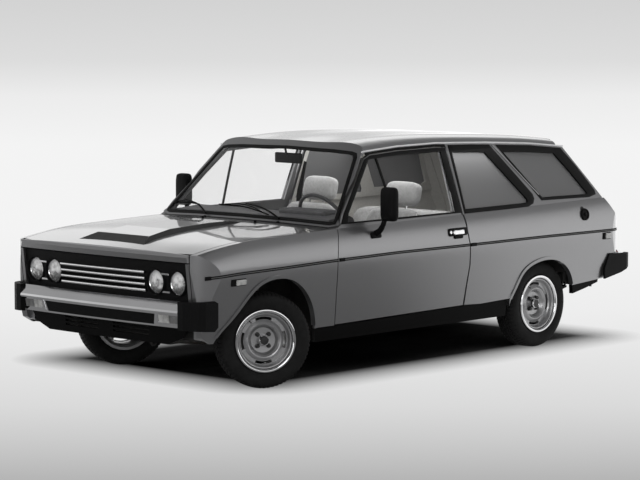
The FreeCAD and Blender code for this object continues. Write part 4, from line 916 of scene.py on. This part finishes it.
tyre_points = tyre_grid()
wheel_black = finish("black_wheel_parts", (0.015, 0.015, 0.015), roughness=0.4, variation=0.2, grain=60.0)
ring_profile = [(191, 69), (190.5, 76), (187, 80.5), (181, 82), (175, 80.5), (170.8, 76), (169.5, 70),
                (172, 68), (175, 74), (180, 77.5), (186, 76.5), (188.6, 73), (189, 68.5)]
for key, (place, side, angle) in wheel_places.items():
    turn = wheel_turn(side, angle)
    body = "wheel_" + key
    place = np.array(place)
    axis = turn @ (0, 1, 0)
    tyre = grid_piece("tread_tyre_" + key, tyre_points @ turn.T + place, rubber, body, ring=True, angle=28)
    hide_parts("tyre_" + key)
    turned("trim_ring_" + key, ring_profile, place, axis, chrome, body, count=96)
    turned("rim_groove_" + key, [(165.2, 66), (170.5, 66), (170.3, 69), (167, 69.6)], place, axis,
           wheel_black, body, count=96)
    turned("centre_cap_" + key, [(0, 49), (20, 49), (29, 44.5), (30.5, 34), (27, 34), (26, 52), (23, 56),
                                 (0, 57)], place, axis, wheel_black, body, count=40)
    turned("centre_cap_rim_" + key, [(24, 52), (28.5, 50), (29.6, 44), (31.4, 44.4), (30.4, 51), (26, 55)],
           place, axis, chrome, body, count=40)
    for k in range(4):
        a = math.radians(45 + 90 * k)
        spot = turn @ (49 * math.cos(a), 0, 49 * math.sin(a)) + place
        turned("wheel_nut_%s_%d" % (key, k), [(0, 20), (14, 20), (14, 23.5), (11, 24), (11, 39), (9, 42),
                                              (0, 42)], spot, axis, wheel_black, body, count=12, angle=20)
    inner_spot = turn @ (156 * math.cos(0.9), 62, 156 * math.sin(0.9)) + place
    rod("tyre_valve_" + key, np.linspace(inner_spot, turn @ (140 * math.cos(0.9), 78,
                                                             140 * math.sin(0.9)) + place,
                                         6), [4, 4, 3, 3, 3.6, 3.6], wheel_black, body)

# The tail: upright lamp clusters of ribbed plastic in three colours, bumper insert, glass seal, wiper,
# handle and blank plate. The seal is moulded rubber; the rest is screwed to the body or the tailgate.
def on_tail(y, z, lift=0.0):
    """Points on the tail, lifted straight back."""
    return np.stack([tail_x(y, z) - lift, y, z], -1)


glass_out = (-0.77, 0, 0.64)
tail_hole = [(-520, 1010), (520, 1010), (545, 1030), (475, 1270), (450, 1290), (-450, 1290), (-475, 1270),
             (-545, 1030)]
loop = chain(tail_hole, 40, closed=True)
sweep("tail_glass_seal", on_tail(loop[:, 0], loop[:, 1]), glass_out,
      [(-12, -3), (-12, 2), (-8, 5), (8, 5), (12, 2), (12, -4)], rubber_trim, "tailgate", ring=True)
pivot = on_tail([60], [985], 8)[0]
turned("rear_wiper_spindle", [(0, -10), (12, -10), (12, 12), (8, 16), (0, 16)], pivot, glass_out,
       black_plastic, "tailgate", count=20)
tip = on_tail([-150], [1083], 8)[0] + (-12, 0, 10)
rod("rear_wiper_arm", np.linspace(pivot + (-10, 0, 8), tip, 10), np.linspace(6, 3, 10), satin_black,
    "tailgate")
sweep("rear_wiper_blade", on_tail(np.linspace(-350, 40, 20), np.linspace(1066, 1100, 20), 8), glass_out,
      [(-1.5, -3), (-4, 2), (-3, 9), (3, 9), (4, 2), (1.5, -3)], rubber_trim, "tailgate")


def tail_plate(name, y0, y1, z0, z1, low, high, material, body, lens=0.0):
    """A plate that follows the tail, from low to high behind it, bowed by lens at its middle."""
    u, v = np.meshgrid(np.linspace(0, 1, 10), np.linspace(0, 1, 8), indexing="ij")
    y, z = y0 + (y1 - y0) * u, z0 + (z1 - z0) * v
    bow = high + lens * (1 - (2 * u - 1) ** 4) * (1 - (2 * v - 1) ** 4)
    grid = folded(on_tail(y, z, bow), on_tail(y, z, low))
    return grid_piece(name, grid, material, body)


lamp_bits = []
for side, tag in sides:
    for name, z0, z1, used in (("indicator", 696, 740, amber_lens), ("tail", 646, 694, red_lens),
                               ("reverse", 620, 644, clear_lens), ("reflector", 592, 618, red_lens)):
        y, z = np.meshgrid(np.linspace(592, 705, 14), np.linspace(z0, z1, 6), indexing="ij")
        corner_cut = np.interp(y, [592, 640, 690, 705], [0, 0, 4, 14])
        bow = 3 * (1 - (2 * (z - z0) / (z1 - z0) - 1) ** 4)
        grid = folded(on_tail(y, z, bow - corner_cut), on_tail(y, z, -22 - corner_cut))
        lamp_bits.append(grid_piece("rear_lamp_%s_%s" % (name, tag), grid * (1, side, 1), used))
for piece in lamp_bits:
    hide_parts("tail_lamps")
tail_plate("rear_plate_bed", -262, 262, 630, 745, 0, 2, satin_black, "tailgate")
white_plate = finish("blank_plate", (0.75, 0.75, 0.73), roughness=0.35, variation=0.05, grain=8.0, coat=0.3)
tail_plate("rear_number_plate", -255, 255, 636, 740, 1.5, 4, white_plate, "tailgate")
tail_plate("tailgate_handle", -70, 70, 772, 800, -1, 8, black_plastic, "tailgate", lens=4)
tail_plate("tailgate_strip", -560, 560, 756, 766, -1, 3, bright, "tailgate")
y = np.linspace(-470, 470, 50)
line = np.stack([-bumper_end + y * y / (2 * nose_radius) + 1.0, y, np.full_like(y, 515.0)], -1)
sweep("rear_bumper_insert", line, (-1, 0, 0), [(-24, -8), (-22, -1), (-18, 0.8), (18, 0.8), (22, -3),
                                               (24, -12)], black_plastic)

# The cabin: padded seats in pale cloth with sewn channels and piping, a padded dashboard with its
# instruments, a two-spoke wheel, mirror, sun visors, belts and levers.
def cushion(name, half, centre, turn, material, channels=(), power=6.0, n=28, crown=0.10):
    """|x/a|^p + |y/b|^p + |z/c|^p = 1, crowned towards +Z, with sewn channels y = const sunk into its top."""
    u, v = np.meshgrid(np.linspace(-1, 1, n), np.linspace(-1, 1, n), indexing="ij")
    one = np.ones_like(u)
    sheets = [(u, v, one), (v, u, -one), (one, u, v), (-one, v, u), (v, one, u), (u, -one, v)]
    points = np.concatenate([np.stack(s, -1).reshape(-1, 3) for s in sheets])
    quad = np.array([(i * n + j, (i + 1) * n + j, (i + 1) * n + j + 1, i * n + j + 1)
                     for i in range(n - 1) for j in range(n - 1)])
    faces = (quad + (n * n * np.arange(6))[:, None, None]).reshape(-1, 4)
    key = np.round(points * 4096).astype(int)
    _, first, back = np.unique(key, axis=0, return_index=True, return_inverse=True)
    points, faces = points[first], back.reshape(-1)[faces]
    points = points / (np.abs(points) ** power).sum(1, keepdims=True) ** (1 / power)
    x, y, z = points.T
    top = np.clip(z, 0, 1) ** 2
    z = z * (1 - crown + crown * (1 - x ** 2) * (1 - y ** 2) * 2)
    local = np.stack([x, y, z], -1) * np.asarray(half, float)
    for place in channels:
        local[:, 2] -= top * 9.0 * np.exp(-((local[:, 1] - place) / 7.0) ** 2) * (1 - np.abs(x) ** 6)
    local = local @ np.asarray(turn).T + np.asarray(centre, float)
    thing = solid(name, local, faces.tolist(), material, angle=60)
    return thing


def piping(name, half, centre, turn, material, level=0.55, power=6.0):
    """The welt sewn round a cushion: a thin cord on the superellipse at one level."""
    t = np.linspace(0, 2 * math.pi, 97)
    c, s = np.cos(t), np.sin(t)
    shrink = (1 - abs(level) ** power) ** (1 / power)
    r = (np.abs(c) ** power + np.abs(s) ** power) ** (-1 / power) * shrink
    loop = np.stack([half[0] * r * c, half[1] * r * s, np.full_like(t, half[2] * level * 0.94)], -1)
    return rod(name, loop @ np.asarray(turn).T + np.asarray(centre, float), 3.2, material, count=8)


flat = np.eye(3)


def lean(degrees):
    """Stands a flat pad up to face forward, leaning back by the given angle."""
    return np.array(Matrix.Rotation(math.radians(90 - degrees), 3, "Y"))


seat_pieces = []
for tag, y in (("left", 365.0), ("right", -365.0)):
    channels = (-150, -75, 0, 75, 150)
    parts = [cushion("seat_cushion_" + tag, (248, 234, 78), (170, y, 426), flat, cloth, channels),
             cushion("seat_back_" + tag, (248, 230, 58), (-85, y, 712), lean(16), cloth, channels),
             cushion("head_rest_" + tag, (80, 138, 44), (-205, y, 1048), lean(16), cloth, power=4.0, n=20,
                     crown=0.15),
             piping("seat_cushion_welt_" + tag, (248, 234, 78), (170, y, 426), flat, cloth),
             piping("seat_back_welt_" + tag, (248, 230, 58), (-85, y, 712), lean(16), cloth)]
    for k in (-60, 60):
        parts.append(rod("head_rest_post_%s_%d" % (tag, k + 60),
                         [(-150, y + k, 925), (-172, y + k, 975), (-180, y + k, 1000)], 6, bright))
        parts.append(block("seat_rail_%s_%d" % (tag, k + 60), (10, y + 2.4 * k - 18, 291),
                           (360, y + 2.4 * k + 18, 360), 4, satin_black))
    seat_pieces += parts
for piece in seat_pieces:
    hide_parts("front_seats")
channels = (-420, -340, -260, -180, -100, 100, 180, 260, 340, 420)
rear = [cushion("rear_bench", (215, 520, 72), (-400, 0, 380), flat, cloth, channels, n=36),
        cushion("rear_backrest", (205, 520, 56), (-700, 0, 695), lean(8), cloth, channels, n=36),
        piping("rear_bench_welt", (215, 520, 72), (-400, 0, 380), flat, cloth),
        piping("rear_backrest_welt", (205, 520, 56), (-700, 0, 695), lean(8), cloth)]
for piece in rear:
    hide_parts("rear_seat")

# steering wheel: a grained rim, a padded boss and two spokes
tilt = math.radians(60)
axis = np.array([-math.sin(tilt), 0, math.cos(tilt)])
across = np.array([0.0, 1.0, 0.0])
up = np.cross(axis, across)
centre = np.array([495.0, 320.0, 925.0])
t = circle(96)[:, None]
loop = centre + 182 * (np.cos(t) * across + np.sin(t) * up)
s = circle(14)
wheel_bits = [sweep("steering_rim", loop, unit(loop - centre),
                    np.stack([11.5 * np.cos(s), 11.5 * np.sin(s)], -1), cabin_trim, "steering_wheel",
                    ring=True, angle=60),
              turned("steering_boss", [(0, -30), (46, -30), (46, -10), (52, 4), (46, 14), (20, 17),
                                       (0, 17)], centre, axis, cabin_trim, "steering_wheel", count=40)]
for k, a in enumerate((-12, 192)):
    d = math.cos(math.radians(a)) * across + math.sin(math.radians(a)) * up
    path = centre + np.linspace(30, 178, 10)[:, None] * d - np.linspace(2, 0, 10)[:, None] * axis * 3
    w = np.linspace(30, 16, 10)
    side_way = np.cross(axis, d)
    section = np.array([(-1, -4), (-1, 2), (-0.7, 4), (0.7, 4), (1, 2), (1, -4)], float)
    grid = path[:, None] + w[:, None, None] * section[None, :, :1] * side_way + section[None, :, 1:] * axis
    wheel_bits.append(grid_piece("steering_spoke_%d" % k, grid, cabin_trim, "steering_wheel"))
for piece in wheel_bits:
    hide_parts("steering_wheel")

# mirror, visors, instruments, levers
block("cabin_mirror", (428, -150, 1260), (452, 80, 1326), 10, black_plastic)
block("cabin_mirror_glass", (425.5, -142, 1267), (429, 72, 1319), 1.5, chrome)
rod("cabin_mirror_stalk", [(446, -35, 1300), (462, -35, 1330), (470, -35, 1352)], 7, black_plastic)
for side, tag in sides:
    cushion("sun_visor_" + tag, (70, 190, 10), (395, side * 350, 1352), flat, cabin_trim, power=5.0, n=14,
            crown=0.0)
dial = finish("dial_face", (0.01, 0.01, 0.011), roughness=0.3, coat=1.0, variation=0.1)
for k, y in enumerate((235, 320, 405)):
    turned("dial_%d" % k, [(0, 0), (34, 0), (36, 4), (38, 4), (38, -6), (0, -6)], (556, y, 935),
           (-1, 0, 0.05), dial, count=40)
for k, y in enumerate((-560, -60, 20, 590)):
    block("air_vent_%d" % k, (566, y - 34, 905), (592, y + 34, 938), 3, black_plastic)
rod("gear_lever", smooth_line([(430, 0, 400), (400, 0, 520), (380, 10, 620)], 14), np.linspace(8, 6, 14),
    satin_black)
turned("gear_knob", [(0, 0), (10, 0), (20, 10), (24, 24), (20, 38), (10, 44), (0, 45)], (380, 10, 605),
       (-0.15, 0, 1), black_plastic, count=24)
turned("gear_gaiter", [(0, 0), (62, 0), (58, 10), (40, 22), (44, 30), (28, 42), (30, 50), (12, 66),
                       (0, 66)], (430, 0, 400), (0, 0, 1), rubber_trim, count=32)
rod("hand_brake", [(60, 0, 408), (120, 0, 440), (240, 0, 500), (300, 0, 520)], [11, 11, 12, 12],
    black_plastic)
for side, tag in sides:
    path = smooth_line([(-350, side * 700, 420), (-352, side * 712, 800), (-345, side * 668, 1120),
                        (-340, side * 640, 1210)], 30)
    sweep("seat_belt_" + tag, path, (1, 0, 0), [(-23, -1), (-23, 1), (23, 1), (23, -1)], rubber_trim)
